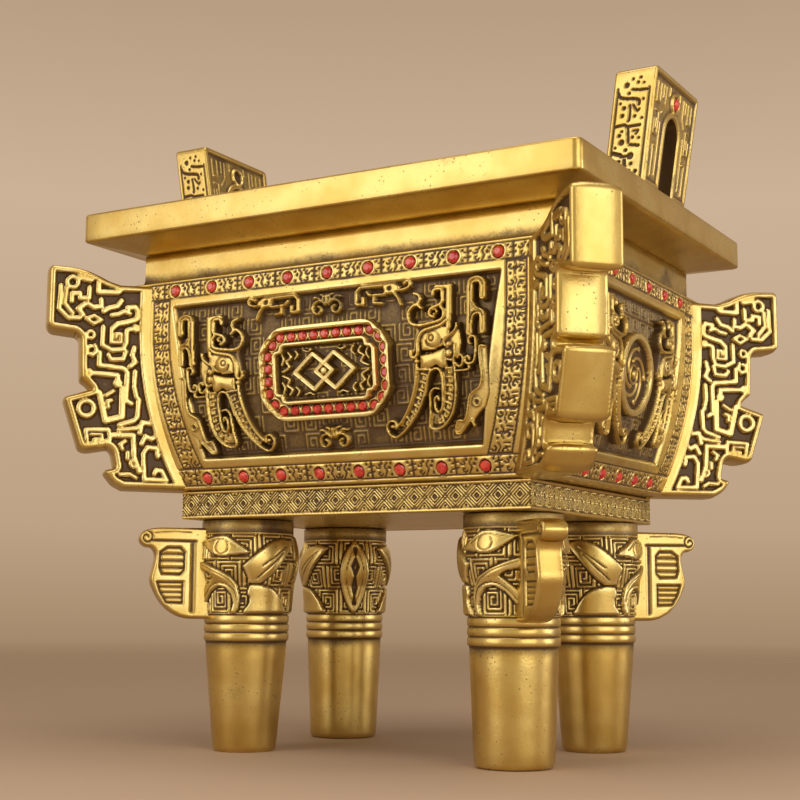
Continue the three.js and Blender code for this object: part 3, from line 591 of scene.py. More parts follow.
class Canvas:
    """A rectangle of a surface, sampled evenly, that holds a height for each point."""

    def __init__(self, across: Grid, up: Grid, height: Grid | None = None) -> None:
        """Lay out the canvas.

        Args:
            across: x of each column.
            up: z of each row.
            height: the height of each sample, or None for 0.
        """
        self.across, self.up = across, up
        self.pitch = float(up[1] - up[0])
        self.x, self.z = np.meshgrid(across, up)
        self.height = np.zeros(self.x.shape) if height is None else height
        self.cut = np.zeros(self.x.shape)
        self.ink = np.zeros(self.x.shape)

    @classmethod
    def sheet(cls, low: tuple[float, float], high: tuple[float, float], pitch: float, level: float = 0.0):
        """A canvas between two corners, all at one level.

        Args:
            low: lowest x and z.
            high: highest x and z.
            pitch: from one sample to the next.
            level: the height of every sample.

        Returns:
            The canvas.
        """
        across = np.linspace(low[0], high[0], round((high[0] - low[0]) / pitch) + 1)
        up = np.linspace(low[1], high[1], round((high[1] - low[1]) / pitch) + 1)
        return cls(across, up, np.full((len(up), len(across)), float(level)))

    def window(self, box: tuple[float, float, float, float], margin: float) -> tuple[slice, slice] | None:
        """The samples within a box and a margin round it, or None where there are none."""
        left, right = np.searchsorted(self.across, [box[0] - margin, box[2] + margin])
        low, high = np.searchsorted(self.up, [box[1] - margin, box[3] + margin])
        return None if left >= right or low >= high else (slice(low, high), slice(left, right))

    def emboss(
        self, motif: Motif, foot: float, top: float, edge: float = 0.9,
        contours: Sequence[Contour] = (), dome: float = 0.0, dome_reach: float = 2.0,
    ) -> None:
        """Raise a figure to a height, keeping whatever already stands higher.

        Args:
            motif: the figure.
            foot: the height at the foot of its sides.
            top: the height of its top.
            edge: how wide its sloping side is.
            contours: grooves along its edge.
            dome: how much more its middle swells.
            dome_reach: how far from the edge the swell is full.
        """
        window = self.window(motif.box(), edge)
        if window is None:
            return
        gap = motif.gap(self.x[window], self.z[window])
        level = foot + (top - foot) * smooth(0.5 - gap / edge)
        if dome:
            share = np.clip(-gap / dome_reach, 0.0, 1.0)
            level += dome * np.sqrt(1.0 - (1.0 - share) ** 2)
        for contour in contours:
            level -= contour.depth * np.exp(-(((gap + contour.inset) / contour.width) ** 2))
        now = self.height[window]
        self.height[window] = np.where(gap < edge / 2, np.maximum(now, level), now)

    def sink(self, motif: Motif, level: float, edge: float = 1.0) -> None:
        """Lower a figure to a level, keeping whatever already lies deeper."""
        window = self.window(motif.box(), edge)
        if window is None:
            return
        gap = motif.gap(self.x[window], self.z[window])
        now = self.height[window]
        self.height[window] = np.minimum(now, now + (level - now) * smooth(0.5 - gap / edge))

    def engrave(self, motif: Motif, depth: float, edge: float = 0.5) -> None:
        """Cut the figure's strokes into the surface."""
        window = self.window(motif.box(), edge)
        if window is None:
            return
        gap = motif.gap(self.x[window], self.z[window])
        self.cut[window] = np.maximum(self.cut[window], depth * smooth(0.5 - gap / edge))

    def settle(self) -> None:
        """Take the engraving out of the heights, and keep where it lies for the patina."""
        self.height -= self.cut
        self.ink = np.clip(self.cut / 0.4, 0.0, 1.0)
        self.cut[:] = 0.0

    def calm(self, level: float) -> None:
        """Smooth all that lies below a level, as a file leaves the foot of a relief."""
        even = box_blur(box_blur(self.height, 1).T, 1).T
        self.height = np.where(self.height < level, even, self.height)

    def inked(self, ink: Grid) -> "Canvas":
        """The same canvas with the engraving's places that are given."""
        self.ink = ink
        return self

    def mirrored(self) -> "Canvas":
        """The canvas with its mirror image added on the other side of x = 0."""
        across = np.concatenate([-self.across[:0:-1], self.across])
        height, ink = (np.concatenate([grid[:, :0:-1], grid], axis=1) for grid in (self.height, self.ink))
        return Canvas(across, self.up, height).inked(ink)

    def flipped(self) -> "Canvas":
        """The canvas as it is in a mirror at x = 0."""
        return Canvas(-self.across[::-1], self.up, self.height[:, ::-1].copy())

    def moved(self, step: float, rise: float = 0.0) -> "Canvas":
        """The canvas moved along x and z."""
        return Canvas(self.across + step, self.up + rise, self.height)

    def recess(
        self, reach: float = 1.5, deep: float = 2.6, near: float = 0.85, sunk: float = 0.5, ink: float = 0.5,
    ) -> Grid:
        """How far each sample lies in a recess: up to 1 in one, below 0 on a rubbed edge.

        Args:
            reach: how far round a sample its surroundings count.
            deep: the depth below 0 at which the ground is fully stained.
            near: the stain of a hollow between higher places.
            sunk: the stain of the ground.
            ink: the stain that stands in the engraving.

        Returns:
            The patina value of each sample.
        """
        size = max(int(round(reach / self.pitch)), 1)
        mean = self.height
        for _ in range(2):
            mean = box_blur(box_blur(mean, size).T, size).T
        hollow = np.clip((mean - self.height) / 0.4, 0.0, 1.0)
        rubbed = np.clip((self.height - mean) / 0.4, 0.0, 1.0)
        ground = np.clip(-self.height / deep, 0.0, 1.0)
        return np.clip(near * hollow + sunk * ground - 0.4 * rubbed + ink * self.ink, -0.4, 1.0)


class Cast:
    """Collects sheets of quads and makes one mesh object of them."""

    def __init__(self) -> None:
        """Start empty."""
        self.points: list[Grid] = []
        self.faces: list[Grid] = []
        self.patina_and_shade: list[Grid] = []
        self.count = 0

    def grid(
        self, points: Grid, stain: Grid | float = 0.0, keep: Grid | None = None, close: bool = False
    ) -> None:
        """Add a grid of points as a sheet.

        Args:
            points: rows by columns by 3.
            stain: the patina, with painted shade on some pieces, rows by columns or one value.
            keep: which cells to keep.
            close: whether the last column joins the first.
        """
        rows, columns = points.shape[:2]
        number = np.arange(rows * columns).reshape(rows, columns)
        if close:
            number = np.concatenate([number, number[:, :1]], axis=1)
        cells = np.stack([number[:-1, :-1], number[:-1, 1:], number[1:, 1:], number[1:, :-1]], axis=-1)
        cells = cells[keep] if keep is not None else cells.reshape(-1, 4)
        used = np.unique(cells)
        fresh = np.zeros(rows * columns, int)
        fresh[used] = np.arange(len(used))
        patina_and_shade = np.broadcast_to(np.asarray(stain, float), (rows, columns)).reshape(-1)
        self.points.append(points.reshape(-1, 3)[used])
        self.faces.append(fresh[cells] + self.count)
        self.patina_and_shade.append(patina_and_shade[used])
        self.count += len(used)

    def make(self, name: str, place: Matrix | None = None, flip: bool = False) -> bpy.types.Object:
        """Make the mesh object.

        Args:
            name: the piece's name.
            place: where the piece's own frame lies, in millimetres.
            flip: whether the faces are turned over.

        Returns:
            The object, at the origin, unturned and unscaled.
        """
        points = np.concatenate(self.points)
        faces = np.concatenate(self.faces)
        if place is not None:
            turn = np.array(place)
            points = points @ turn[:3, :3].T + turn[:3, 3]
        if flip:
            faces = faces[:, ::-1]
        mesh = bpy.data.meshes.new(name)
        mesh.vertices.add(len(points))
        mesh.vertices.foreach_set("co", (points * MM).astype(np.float32).ravel())
        mesh.loops.add(faces.size)
        mesh.loops.foreach_set("vertex_index", np.ascontiguousarray(faces, np.int32).ravel())
        mesh.polygons.add(len(faces))
        mesh.polygons.foreach_set("loop_start", np.arange(0, faces.size, 4, dtype=np.int32))
        stain = mesh.attributes.new("PatinaAndShade", "FLOAT", "POINT")
        stain.data.foreach_set("value", np.concatenate(self.patina_and_shade).astype(np.float32))
        mesh.update(calc_edges=True)
        mesh.validate()
        piece = bpy.data.objects.new(name, mesh)
        bpy.context.scene.collection.objects.link(piece)
        bpy.ops.object.select_all(action="DESELECT")
        piece.select_set(True)
        bpy.context.view_layer.objects.active = piece
        bpy.ops.object.mode_set(mode="EDIT")
        bpy.ops.mesh.select_all(action="SELECT")
        bpy.ops.mesh.remove_doubles(threshold=2e-6)
        bpy.ops.object.mode_set(mode="OBJECT")
        bpy.ops.object.shade_smooth()
        return piece


@dataclass
class Gems:
    """Collects cut stones and makes one mesh object of them."""

    facets: int = 8
    points: list[tuple[float, float, float]] = field(default_factory=list)
    faces: list[tuple[int, ...]] = field(default_factory=list)

    def set(self, x: float, out: float, z: float, radius: float, rise: float, tilt: float = 0.0) -> None:
        """Set one stone with its table facing outward, which is -Y.

        Args:
            x: its middle.
            out: how far outward its girdle lies.
            z: its height.
            radius: its girdle's radius.
            rise: from girdle to table.
            tilt: how far it leans back to face upward or, below 0, downward, in radians.
        """
        first = len(self.points)
        rings = [
            (radius * 0.3, -rise, 0.0), (radius, 0.0, 0.0), (radius * 0.86, rise * 0.55, 0.5),
            (radius * 0.52, rise, 0.0),
        ]
        for reach, lift, twist in rings:
            for corner in range(self.facets):
                angle = 2 * math.pi * (corner + twist) / self.facets
                side, up = reach * math.cos(angle), reach * math.sin(angle)
                forward = lift * math.cos(tilt) - up * math.sin(tilt)
                climb = lift * math.sin(tilt) + up * math.cos(tilt)
                self.points.append((x + side, -(out + forward), z + climb))
        for ring in range(len(rings) - 1):
            for corner in range(self.facets):
                a = first + ring * self.facets + corner
                b = first + ring * self.facets + (corner + 1) % self.facets
                self.faces.append((a, b, b + self.facets, a + self.facets))
        last = first + (len(rings) - 1) * self.facets
        self.faces.append(tuple(range(last, last + self.facets)))
        self.faces.append(tuple(range(first + self.facets - 1, first - 1, -1)))

    def make(self, name: str, place: Matrix) -> bpy.types.Object:
        """Make the mesh object, at the origin, unturned and unscaled."""
        mesh = bpy.data.meshes.new(name)
        mesh.from_pydata([tuple(place @ Vector(point) * MM) for point in self.points], [], self.faces)
        mesh.update()
        piece = bpy.data.objects.new(name, mesh)
        bpy.context.scene.collection.objects.link(piece)
        return piece


@dataclass(frozen=True)
class Side:
    """One side of the basin: its name, its length, how it is turned and where it stands."""

    name: str
    long: bool
    turn: float
    step: tuple[int, int]
    birds: tuple[str, str]

    def place(self, out_x: float = SIZES.basin_x, out_y: float = SIZES.basin_y) -> Matrix:
        """The panel's own frame: x along the wall, -Y outward, z up."""
        spot = Matrix.Translation((self.step[0] * out_x, self.step[1] * out_y, 0))
        return spot @ Matrix.Rotation(math.radians(self.turn), 4, "Z")


SIDES = (
    Side("front", True, 0, (0, -1), ("bird_front_left", "bird_front_right")),
    Side("right", False, 90, (1, 0), ("bird_right_front", "bird_right_back")),
    Side("back", True, 180, (0, 1), ("bird_back_right", "bird_back_left")),
    Side("left", False, -90, (-1, 0), ("bird_left_back", "bird_left_front")),
)


@dataclass(frozen=True)
class Corner:
    """One corner of the ding: its name, its quarter and the angle of its diagonal."""

    name: str
    x: int
    y: int
    away: float

    def place(self, out_x: float, out_y: float) -> Matrix:
        """A frame at a corner point whose x points outward along the diagonal."""
        spot = Matrix.Translation((self.x * out_x, self.y * out_y, 0))
        return spot @ Matrix.Rotation(math.radians(self.away), 4, "Z")


CORNERS = (
    Corner("front_left", -1, -1, -135),
    Corner("front_right", 1, -1, -45),
    Corner("back_right", 1, 1, 45),
    Corner("back_left", -1, 1, 135),
)


@dataclass
class Panel:
    """The ornament of one kind of wall, drawn on the half right of its middle."""

    long: bool
    pitch: float = 0.5
    bed: float = -2.7
    stone_top: float = 186.3
    stone_foot: float = 109.7

    @property
    def half(self) -> float:
        """Half of the wall's length."""
        return SIZES.basin_x if self.long else SIZES.basin_y

    @property
    def field_top(self) -> float:
        """Half of the sunk field's width at its top."""
        return 74.5 if self.long else 47.5

    def top_stones(self) -> list[float]:
        """Where the stones of the top row stand, on the right half."""
        return [0, 18.4, 36.8, 55.2, 73.6] if self.long else [9.1, 27.3, 45.5]

    def foot_stones(self) -> list[float]:
        """Where the stones of the foot row stand, on the right half."""
        return [9, 27, 45, 63] if self.long else [0, 16.8, 33.6]

    def field(self) -> Line:
        """The sunk field."""
        top, foot = self.field_top - 0.6, self.field_top - 11.8
        return [(-top, 179.3), (-foot, 117.8), (foot, 117.8), (top, 179.3)]

    def ground(self, canvas: Canvas) -> None:
        """Sink the field and cover it with square spirals."""
        canvas.sink(Motif(areas=[self.field()]), self.bed, 2.0)
        cell = 8.2
        for row in range(8):
            z = 121.3 + row * 7.85
            limit = self.field_top - 11 + (z - 117) / 63 * 11 - 4.2
            count = int(limit // cell) + 1
            for column in range(count):
                x = limit - (count - 1 - column) * cell
                if (row * 7 + column * 3) % 5 == 1:
                    continue
                hand = 1 if (row + column) % 2 else -1
                line = key_spiral(x, z, 3.1, 1.7, hand, -hand if row % 2 else hand)
                canvas.emboss(Motif().line(line, 0.85), self.bed, self.bed + 0.55, 0.9)

    def jewel_band(self, canvas: Canvas, low: float, high: float, stones: list[float], level: float) -> None:
        """Engrave one band of stones with its stems, commas and dots.

        Args:
            canvas: the panel.
            low: the band's lower edge.
            high: its upper edge.
            stones: where its stones stand, on the right half.
            level: the stones' height.
        """
        middle, half = (low + high) / 2, (high - low) / 2
        for edge in (low, high):
            canvas.engrave(Motif().line([(-1, edge), (self.half, edge)], 0.5), 0.45)
        pitch = stones[1] - stones[0]
        for stone in (stones[0] - pitch, *stones):
            stem = stone + pitch * 0.32
            marks = Motif().line([(stem, middle - half * 0.8), (stem, middle + half * 0.8)], 0.6)
            marks.line([(stem - 1.4, middle + half * 0.3), (stem + 1.4, middle + half * 0.42)], 0.55)
            marks.line([(stem - 1.5, middle - half * 0.34), (stem + 1.2, middle - half * 0.24)], 0.55)
            curl = stone + pitch * 0.5
            marks.line(comma(curl, middle + half * 0.38, 1.15), 0.55)
            marks.line(comma(curl + 0.4, middle - half * 0.45, 1.15, -1), 0.55)
            wave = stone + pitch * 0.66
            marks.curve([
                (wave + 0.9, middle + half * 0.75), (wave - 0.4, middle + half * 0.3),
                (wave + 0.5, middle - half * 0.2), (wave - 0.6, middle - half * 0.8),
            ], 0.55)
            marks.disc(wave + 1.7, middle + half * 0.15, 0.6).disc(wave - 1.5, middle + half * 0.65, 0.5)
            for side in (-1, 1):
                for rise in (-0.62, 0.62):
                    marks.disc(stone + side * pitch * 0.2, middle + rise * half, 0.5)
            canvas.engrave(marks, 0.5, 0.45)
        for stone in stones:
            canvas.emboss(Motif().ring(stone, level, 2.75, 0.6), 0.0, 0.35, 0.7)
            canvas.engrave(Motif().disc(stone, level, 2.35), 1.1, 0.5)

    def edge_line(self, base: float, share: float, z: float) -> float:
        """Where a line beside the corner runs at a height."""
        return base + share * float(SIZES.face(z))

    def column(self, canvas: Canvas) -> None:
        """Engrave the column of commas that runs down beside the corner."""
        inner, outer = (self.half - 22.4, 1.35), (self.half - 14.6, 1.15)
        heights = list(np.linspace(183.3, 113.5, 15))
        for base, share in (inner, outer):
            canvas.engrave(Motif().line([(self.edge_line(base, share, z), z) for z in heights], 0.55), 0.5)
        for z in (182.6, 165.0, 147.4, 129.8, 114.0):
            ends = [(self.edge_line(*inner, z), z), (self.edge_line(*outer, z), z)]
            canvas.engrave(Motif().line(ends, 0.8), 0.6)
        step = 17.55 / 3
        for index in range(12):
            z = 182.6 - step * (index + 0.5)
            left = self.edge_line(*inner, z)
            width = self.edge_line(*outer, z) - left
            hand = 1 if index % 2 else -1
            marks = Motif().line(comma(left + width * 0.24, z + 0.8, 1.35, hand), 0.6)
            marks.line(comma(left + width * 0.66, z - 0.9, 1.35, -hand, -1), 0.6)
            marks.curve([
                (left + width * 0.42, z + 2.4), (left + width * 0.5, z + 0.8),
                (left + width * 0.4, z - 0.8), (left + width * 0.46, z - 2.4),
            ], 0.5)
            marks.line([(left + width * 0.66, z + 2.2), (left + width * 0.92, z + 2.0)], 0.5)
            marks.line([(left + width * 0.7, z + 0.9), (left + width * 0.9, z + 0.6)], 0.6)
            marks.disc(left + width * 0.18, z - 1.9, 0.5).disc(left + width * 0.9, z - 1.6, 0.5)
            canvas.engrave(marks, 0.5, 0.45)

    def scrolls(self, canvas: Canvas) -> None:
        """Raise the paired scrolls above and below the cartouche, and the small dragons."""
        for z, size in ((172.4, 3.4), (121.4, 3.2)):
            scroll = Motif().line([(x, z + b) for x, b in spiral(3.9, 0, size, 0.8, 155, -430, 24)], 1.0)
            scroll.curve([(0.9, z + 1.4), (1.7, z + 3.4), (1.3, z + 4.8), (2.8, z + 5.4)], 1.1)
            scroll.curve([(1.9, z + 2.6), (4.2, z + 4.4), (6.3, z + 4.2)], 1.0)
            scroll.curve([(0, z + 2.0), (0.2, z + 4.9)], 1.4)
            canvas.emboss(scroll, self.bed, 0.7, 0.8)
        dragon = Motif().area([(24.5, 179.2), (30, 179.3), (33, 177.6), (30.6, 174.9), (26, 175.0)])
        dragon.curve([(30, 176.4), (33, 176.2), (36.4, 177), (36.3, 179.3), (34.0, 178.5)], 1.4)
        dragon.curve([(29.6, 175.4), (31.6, 173.4), (32.8, 170.6)], 1.3)
        back = [(24.5, 178.7), (15.2, 178.9), (13.4, 177.2), (13.3, 172.5), (16.3, 172.2), (16.4, 174.7)]
        dragon.line(back, 1.5).line([(26, 175.2), (19, 175.5), (18, 177)], 1.3)
        dragon.line([(21.2, 175.4), (21, 172.3), (24.2, 172)], 1.3)
        canvas.emboss(dragon, self.bed, 0.6, 0.8)
        canvas.engrave(Motif().disc(28.2, 177.2, 0.7), 0.9)

    def stain(self, canvas: Canvas) -> Grid:
        """The patina of the whole face: strongest in the field, which no brush has reached."""
        field = gap_to_area(self.field(), canvas.x, canvas.z)
        stain = canvas.recess(1.0, 2.6, 0.4, 0.3, 0.8) + 0.06
        return stain + (0.37 - 0.3 * stain) * smooth(0.5 - field / 2.0)

    def draw(self) -> Canvas:
        """Draw the panel.

        Returns:
            The heights of the whole wall's face, both halves.
        """
        canvas = Canvas.sheet((0.0, SIZES.wall_foot), (self.half, SIZES.wall_top), self.pitch)
        self.ground(canvas)
        self.jewel_band(canvas, 183.3, 189.6, self.top_stones(), self.stone_top)
        self.jewel_band(canvas, 106.9, 113.4, self.foot_stones(), self.stone_foot)
        self.column(canvas)
        if self.long:
            self.scrolls(canvas)
        canvas.settle()
        return canvas.mirrored()


@dataclass
class Basin:
    """The four carved walls with their stones."""

    workshop: Workshop
    lip_thickness: float = 4.5
    lip_reach: float = 6.5

    def back(self, side: Side) -> list[tuple[float, float]]:
        """The wall's section from the foot of its face round its inside to the top of its neck."""
        s = SIZES
        band, basin = (s.band_y, s.basin_y) if side.long else (s.band_x, s.basin_x)
        lip = band - self.lip_reach - basin
        lip_top = s.wall_foot + self.lip_thickness
        inner = [(float(s.face(z)) - s.wall_thickness, z) for z in np.linspace(lip_top, s.wall_top - 8, 15)]
        neck = -s.neck_inset - s.neck_thickness
        return [
            (float(s.face(s.wall_foot)) - 0.5, s.wall_foot - 0.01), (lip + 0.3, s.wall_foot - 0.01),
            (lip, s.wall_foot + 0.4), (lip, lip_top - 0.4), (lip + 0.4, lip_top), *inner,
            (neck, s.wall_top), (neck, s.neck_top), (-s.neck_inset, s.neck_top),
        ]

    def wall(self, side: Side, canvas: Canvas, stain: Grid) -> bpy.types.Object:
        """Make one wall: the carved face with its neck, lip and plain inside.

        Args:
            side: the side of the basin.
            canvas: the heights of its face.
            stain: their patina.

        Returns:
            The wall.
        """
        s = SIZES
        across = canvas.across
        half = s.basin_x if side.long else s.basin_y
        rows = canvas.up[::-1]
        reach, lean = s.face(rows)[:, None], s.slope(rows)[:, None]
        fade = smooth((half + reach - np.abs(across)[None, :]) / 3.0)
        relief = canvas.height[::-1] * fade
        neck = [
            (-s.neck_inset, s.neck_top), (-s.neck_inset, 201.0), (-s.neck_inset, 197.0),
            (-s.neck_inset, 193.6), (-4.9, 192.2), (-4.0, 191.4), (-2.4, 191.0), (-0.9, 190.9),
            (-0.25, 190.75),
        ]
        back = self.back(side)
        width = np.ones(len(across))
        outs = np.concatenate([
            [o * width for o, _ in neck], reach + relief * np.cos(lean), [o * width for o, _ in back],
        ])
        highs = np.concatenate([
            [z * width for _, z in neck], rows[:, None] - relief * np.sin(lean), [z * width for _, z in back],
        ])
        base = np.concatenate([[o for o, _ in neck], reach[:, 0], [o for o, _ in back]])
        limit = (half + base)[:, None]
        xs = np.clip(across[None, :], -limit, limit)
        # Painted shade on the neck: darker on the short sides, and darker still in the curve at its foot.
        shade = np.full((len(neck), len(across)), 0.05 if side.long else 0.35)
        shade[3:7] = 0.45
        patina_and_shade = np.concatenate([shade, stain[::-1], np.full((len(back), len(across)), 0.12)])
        held = np.abs(xs - across[None, :]) > 1e-9
        keep = ~(held[:-1, :-1] & held[:-1, 1:] & held[1:, :-1] & held[1:, 1:])
        cast = Cast()
        cast.grid(np.stack([xs, -outs, highs], axis=-1), patina_and_shade, keep)
        return cast.make(f"carved_wall_{side.name}", side.place(), flip=True)

    def stones(self, side: Side, panel: Panel) -> bpy.types.Object:
        """Set the stones of one wall."""
        gems = Gems()
        for level, xs in ((panel.stone_top, panel.top_stones()), (panel.stone_foot, panel.foot_stones())):
            reach, lean = float(SIZES.face(level)), float(SIZES.slope(level))
            for x in sorted({sign * x for x in xs for sign in (-1, 1)}):
                gems.set(x, reach - 0.25, level, 2.25, 1.4, -lean)
        return gems.make(f"wall_stones_{side.name}", side.place())

    def build(self) -> None:
        """Make every wall and its stones."""
        for long in (True, False):
            panel = Panel(long)
            canvas = panel.draw()
            stain = panel.stain(canvas)
            for side in SIDES:
                if side.long == long:
                    wall = self.wall(side, canvas, stain)
                    self.workshop.deliver(wall, Finish.BRASS, f"wall_{side.name}")
                    self.workshop.deliver(self.stones(side, panel), Finish.STONE)


def relief_sheet(canvas: Canvas, stain: Grid, name: str, side: Side, keep_above: float = -3.1):
    """Lay a relief over a wall's curved face, without the parts that lie under its ground.

    Args:
        canvas: the heights of the relief.
        stain: their patina, which on the birds also holds painted shade.
        name: the piece's name.
        side: the wall.
        keep_above: the height above which a cell is kept.

    Returns:
        The piece.
    """
    reach, lean = SIZES.face(canvas.up)[:, None], SIZES.slope(canvas.up)[:, None]
    out = reach + canvas.height * np.cos(lean)
    high = canvas.z - canvas.height * np.sin(lean)
    shown = canvas.height > keep_above
    keep = shown[:-1, :-1] | shown[:-1, 1:] | shown[1:, :-1] | shown[1:, 1:]
    cast = Cast()
    cast.grid(np.stack([canvas.x, -out, high], axis=-1), stain, keep)
    return cast.make(name, side.place())


@dataclass
class BirdRelief:
    """The raised bird of each panel, drawn looking left from the right half of a long wall."""

    workshop: Workshop
    pitch: float = 0.3
    bed: float = -3.4
    low: float = 0.2
    top: float = 1.7
    edge: float = 0.6
    short_step: float = -18.5
    # The photographed left bird was set a little off the mirror image of the right one.
    slip: tuple[float, float] = (-2.0, -2.3)

    def raise_lines(self, canvas: Canvas, width: float, *lines: Line) -> None:
        """Raise smooth lines of one width to the full height."""
        for line in lines:
            canvas.emboss(Motif().curve(line, width), self.bed, self.top, self.edge)

    def head(self, canvas: Canvas) -> None:
        """Raise the crest, the looped beak and the eye."""
        bed, low, edge = self.bed, self.low, self.edge
        crest = [
            (46.6, 175.4), (48.0, 176.7), (55.0, 176.4), (55.0, 166.0), (54.2, 159.4), (52.0, 158.8),
            (52.0, 163.4), (52.3, 174.2), (50.6, 175.3), (47.6, 175.0),
        ]
        canvas.emboss(Motif().area(crest), bed, low + 0.4, edge, dome=0.5, dome_reach=1.5)
        jaw = [
            (37.2, 163.4), (42.0, 161.6), (51.0, 163.2), (52.4, 162.2), (50.4, 160.8), (43.0, 159.2),
            (40.6, 157.0), (40.0, 152.0), (37.8, 151.2), (37.6, 155.0), (38.8, 160.0),
        ]
        canvas.emboss(Motif().area(jaw), bed, low, edge)
        self.raise_lines(
            canvas, 1.5,
            [(50.5, 167.9), (51.6, 166.6), (51.7, 164.6), (50.2, 163.1), (46.0, 162.3), (41.4, 161.9),
             (38.2, 162.7), (36.8, 165.0), (37.1, 167.4), (38.6, 169.0), (40.3, 169.7), (42.3, 168.2)],
            [(47.2, 172.6), (47.5, 174.2), (49.0, 174.7), (50.8, 174.4), (51.2, 172.4), (51.1, 169.6),
             (49.6, 168.7), (46.8, 167.8), (45.8, 166.6), (45.9, 165.2), (47.4, 164.5)],
            [(39.3, 173.9), (41.2, 173.2), (41.9, 171.6), (41.1, 170.0), (40.0, 169.4)],
            [(52.6, 162.8), (50.4, 161.4), (46.4, 160.5), (43.0, 159.7), (41.2, 157.8), (40.4, 155.0),
             (40.3, 151.8), (39.2, 150.2), (37.6, 150.7), (37.2, 152.8)],
        )
        self.raise_lines(canvas, 0.9, [(47.3, 167.2), (48.7, 166.9), (48.6, 165.7), (47.5, 165.7)])
        plate = [
            (41.6, 152.4), (41.4, 156.4), (42.8, 158.8), (46.6, 160.2), (50.6, 161.0), (53.6, 160.6),
            (54.0, 156.6), (51.6, 153.8), (47.0, 152.2),
        ]
        canvas.emboss(Motif().area(plate), bed, low + 0.3, edge, dome=0.6)
        canvas.emboss(Motif().disc(47.2, 156.5, 3.0), low, low + 0.8, 0.7, dome=0.7, dome_reach=3.0)
        lid = Motif().ring(46.2, 156.8, 1.1, 0.4).line(spiral(47.2, 156.5, 3.4, 3.4, 190, 160), 0.4)
        canvas.engrave(lid, 0.45)
        barrel = [
            (41.2, 146.0), (41.0, 151.0), (46.6, 151.6), (51.6, 153.0), (52.6, 150.6), (52.2, 146.4),
            (50.2, 145.4), (47.6, 146.9), (45.0, 145.8),
        ]
        canvas.emboss(Motif().area(barrel), bed, 0.8, edge, dome=1.1, dome_reach=2.8)
        canvas.emboss(Motif().disc(39.8, 148.7, 1.0), bed, self.top, edge)

    def bands(self, canvas: Canvas) -> None:
        """Raise the breast band and the hanging band with their borders and meanders."""
        outer = [(39.6, 147.4), (39.2, 143.4), (37.8, 138.2), (35.4, 132.8), (32.0, 128.0), (28.8, 125.2)]
        inner = [(45.4, 145.4), (43.8, 141.4), (42.2, 136.8), (39.8, 132.0), (36.4, 127.8), (32.6, 124.2)]
        canvas.emboss(Motif().area([*outer, *inner[::-1]]), self.bed, self.low, self.edge)
        hanging = [
            (50.2, 146.0), (55.0, 147.2), (55.2, 141.0), (54.8, 135.6), (53.2, 130.4), (50.2, 126.4),
            (46.6, 124.4), (43.4, 125.2), (44.4, 131.0), (46.0, 129.6), (48.6, 129.8), (49.8, 133.0),
            (50.0, 139.0),
        ]
        canvas.emboss(Motif().area(hanging), self.bed, self.low, self.edge)
        self.raise_lines(
            canvas, 1.15, outer, [(40.2, 145.8), (44.8, 145.4)],
            [*inner, (28.2, 121.8), (25.4, 123.4), (25.0, 126.2), (26.8, 127.8), (28.8, 127.0), (28.6, 125.2)],
            [(55.2, 147.6), (55.4, 141.4), (55.0, 135.4), (53.4, 130.0), (50.4, 126.0), (46.6, 124.0),
             (43.2, 124.8), (43.9, 129.6), (44.3, 134.2), (44.6, 136.9), (46.4, 138.5), (48.3, 138.2)],
            [(42.4, 136.2), (43.6, 140.6), (45.0, 144.2), (47.2, 145.6), (49.2, 144.8), (49.9, 142.0),
             (49.8, 137.0), (49.3, 132.4), (48.4, 130.4), (47.0, 130.0), (46.2, 131.4), (46.2, 134.4),
             (47.4, 135.6), (47.9, 134.2)],
        )
        canvas.emboss(Motif().disc(27.3, 125.7, 0.9), self.bed, self.top, self.edge)
        breast = [(42.4, 144.2), (41.2, 139.6), (39.4, 134.6), (36.6, 129.8), (32.4, 126.0)]
        self.meander(canvas, flow(breast))
        drop = [(52.7, 145.8), (52.7, 141.0), (52.2, 136.0), (51.0, 131.4), (48.6, 127.8), (45.8, 126.8)]
        self.meander(canvas, flow(drop))

    def meander(self, canvas: Canvas, line: Line) -> None:
        """Raise a row of square hooks along a band's middle line."""
        path = np.array(line)
        lengths = np.concatenate([[0.0], np.cumsum(np.hypot(*np.diff(path, axis=0).T))])
        count = int(lengths[-1] / 2.9)
        for index in range(count):
            at = (index + 0.5) * lengths[-1] / count
            x, z = (float(np.interp(at, lengths, path[:, axis])) for axis in (0, 1))
            ahead = [float(np.interp(at + 0.5, lengths, path[:, axis])) for axis in (0, 1)]
            dx, dz = (ahead[0] - x) * 2, (ahead[1] - z) * 2
            key = [(-1.2, -1.2), (-1.2, 1.2), (0.7, 1.2), (0.7, 0.0), (-0.2, 0.0)]
            stroke = [(x + a * dx - b * dz, z + a * dz + b * dx) for a, b in key]
            canvas.emboss(Motif().line(stroke, 0.6), self.low, self.top - 0.4, 0.5)

    def feathers(self, canvas: Canvas) -> None:
        """Raise the comma feather and the small scrolls behind the neck."""
        bed, low, edge = self.bed, self.low, self.edge
        feather = [
            (57.0, 161.4), (56.6, 158.8), (54.6, 157.0), (52.0, 156.0), (51.3, 154.4), (52.2, 148.6),
            (55.2, 148.4), (57.6, 150.0), (58.6, 154.0), (58.2, 158.0),
        ]
        canvas.emboss(Motif().area(feather), bed, low + 0.3, edge)
        self.raise_lines(
            canvas, 1.1,
            [(57.0, 161.4), (56.4, 159.2), (54.2, 157.4), (51.9, 156.0), (51.6, 154.2), (53.0, 152.9)],
            [(55.6, 153.6), (55.8, 150.4), (54.8, 148.3), (52.6, 148.6)],
            [(56.0, 147.0), (57.0, 145.8), (58.6, 146.4), (58.8, 149.2), (57.6, 149.8), (56.8, 148.8)],
            [(55.6, 144.3), (60.8, 144.4), (61.2, 145.6)],
        )
        for x, z, radius in ((53.3, 154.0, 1.1), (53.2, 150.8, 1.5)):
            canvas.emboss(Motif().disc(x, z, radius), bed, self.top - 0.4, edge, dome=0.6, dome_reach=radius)

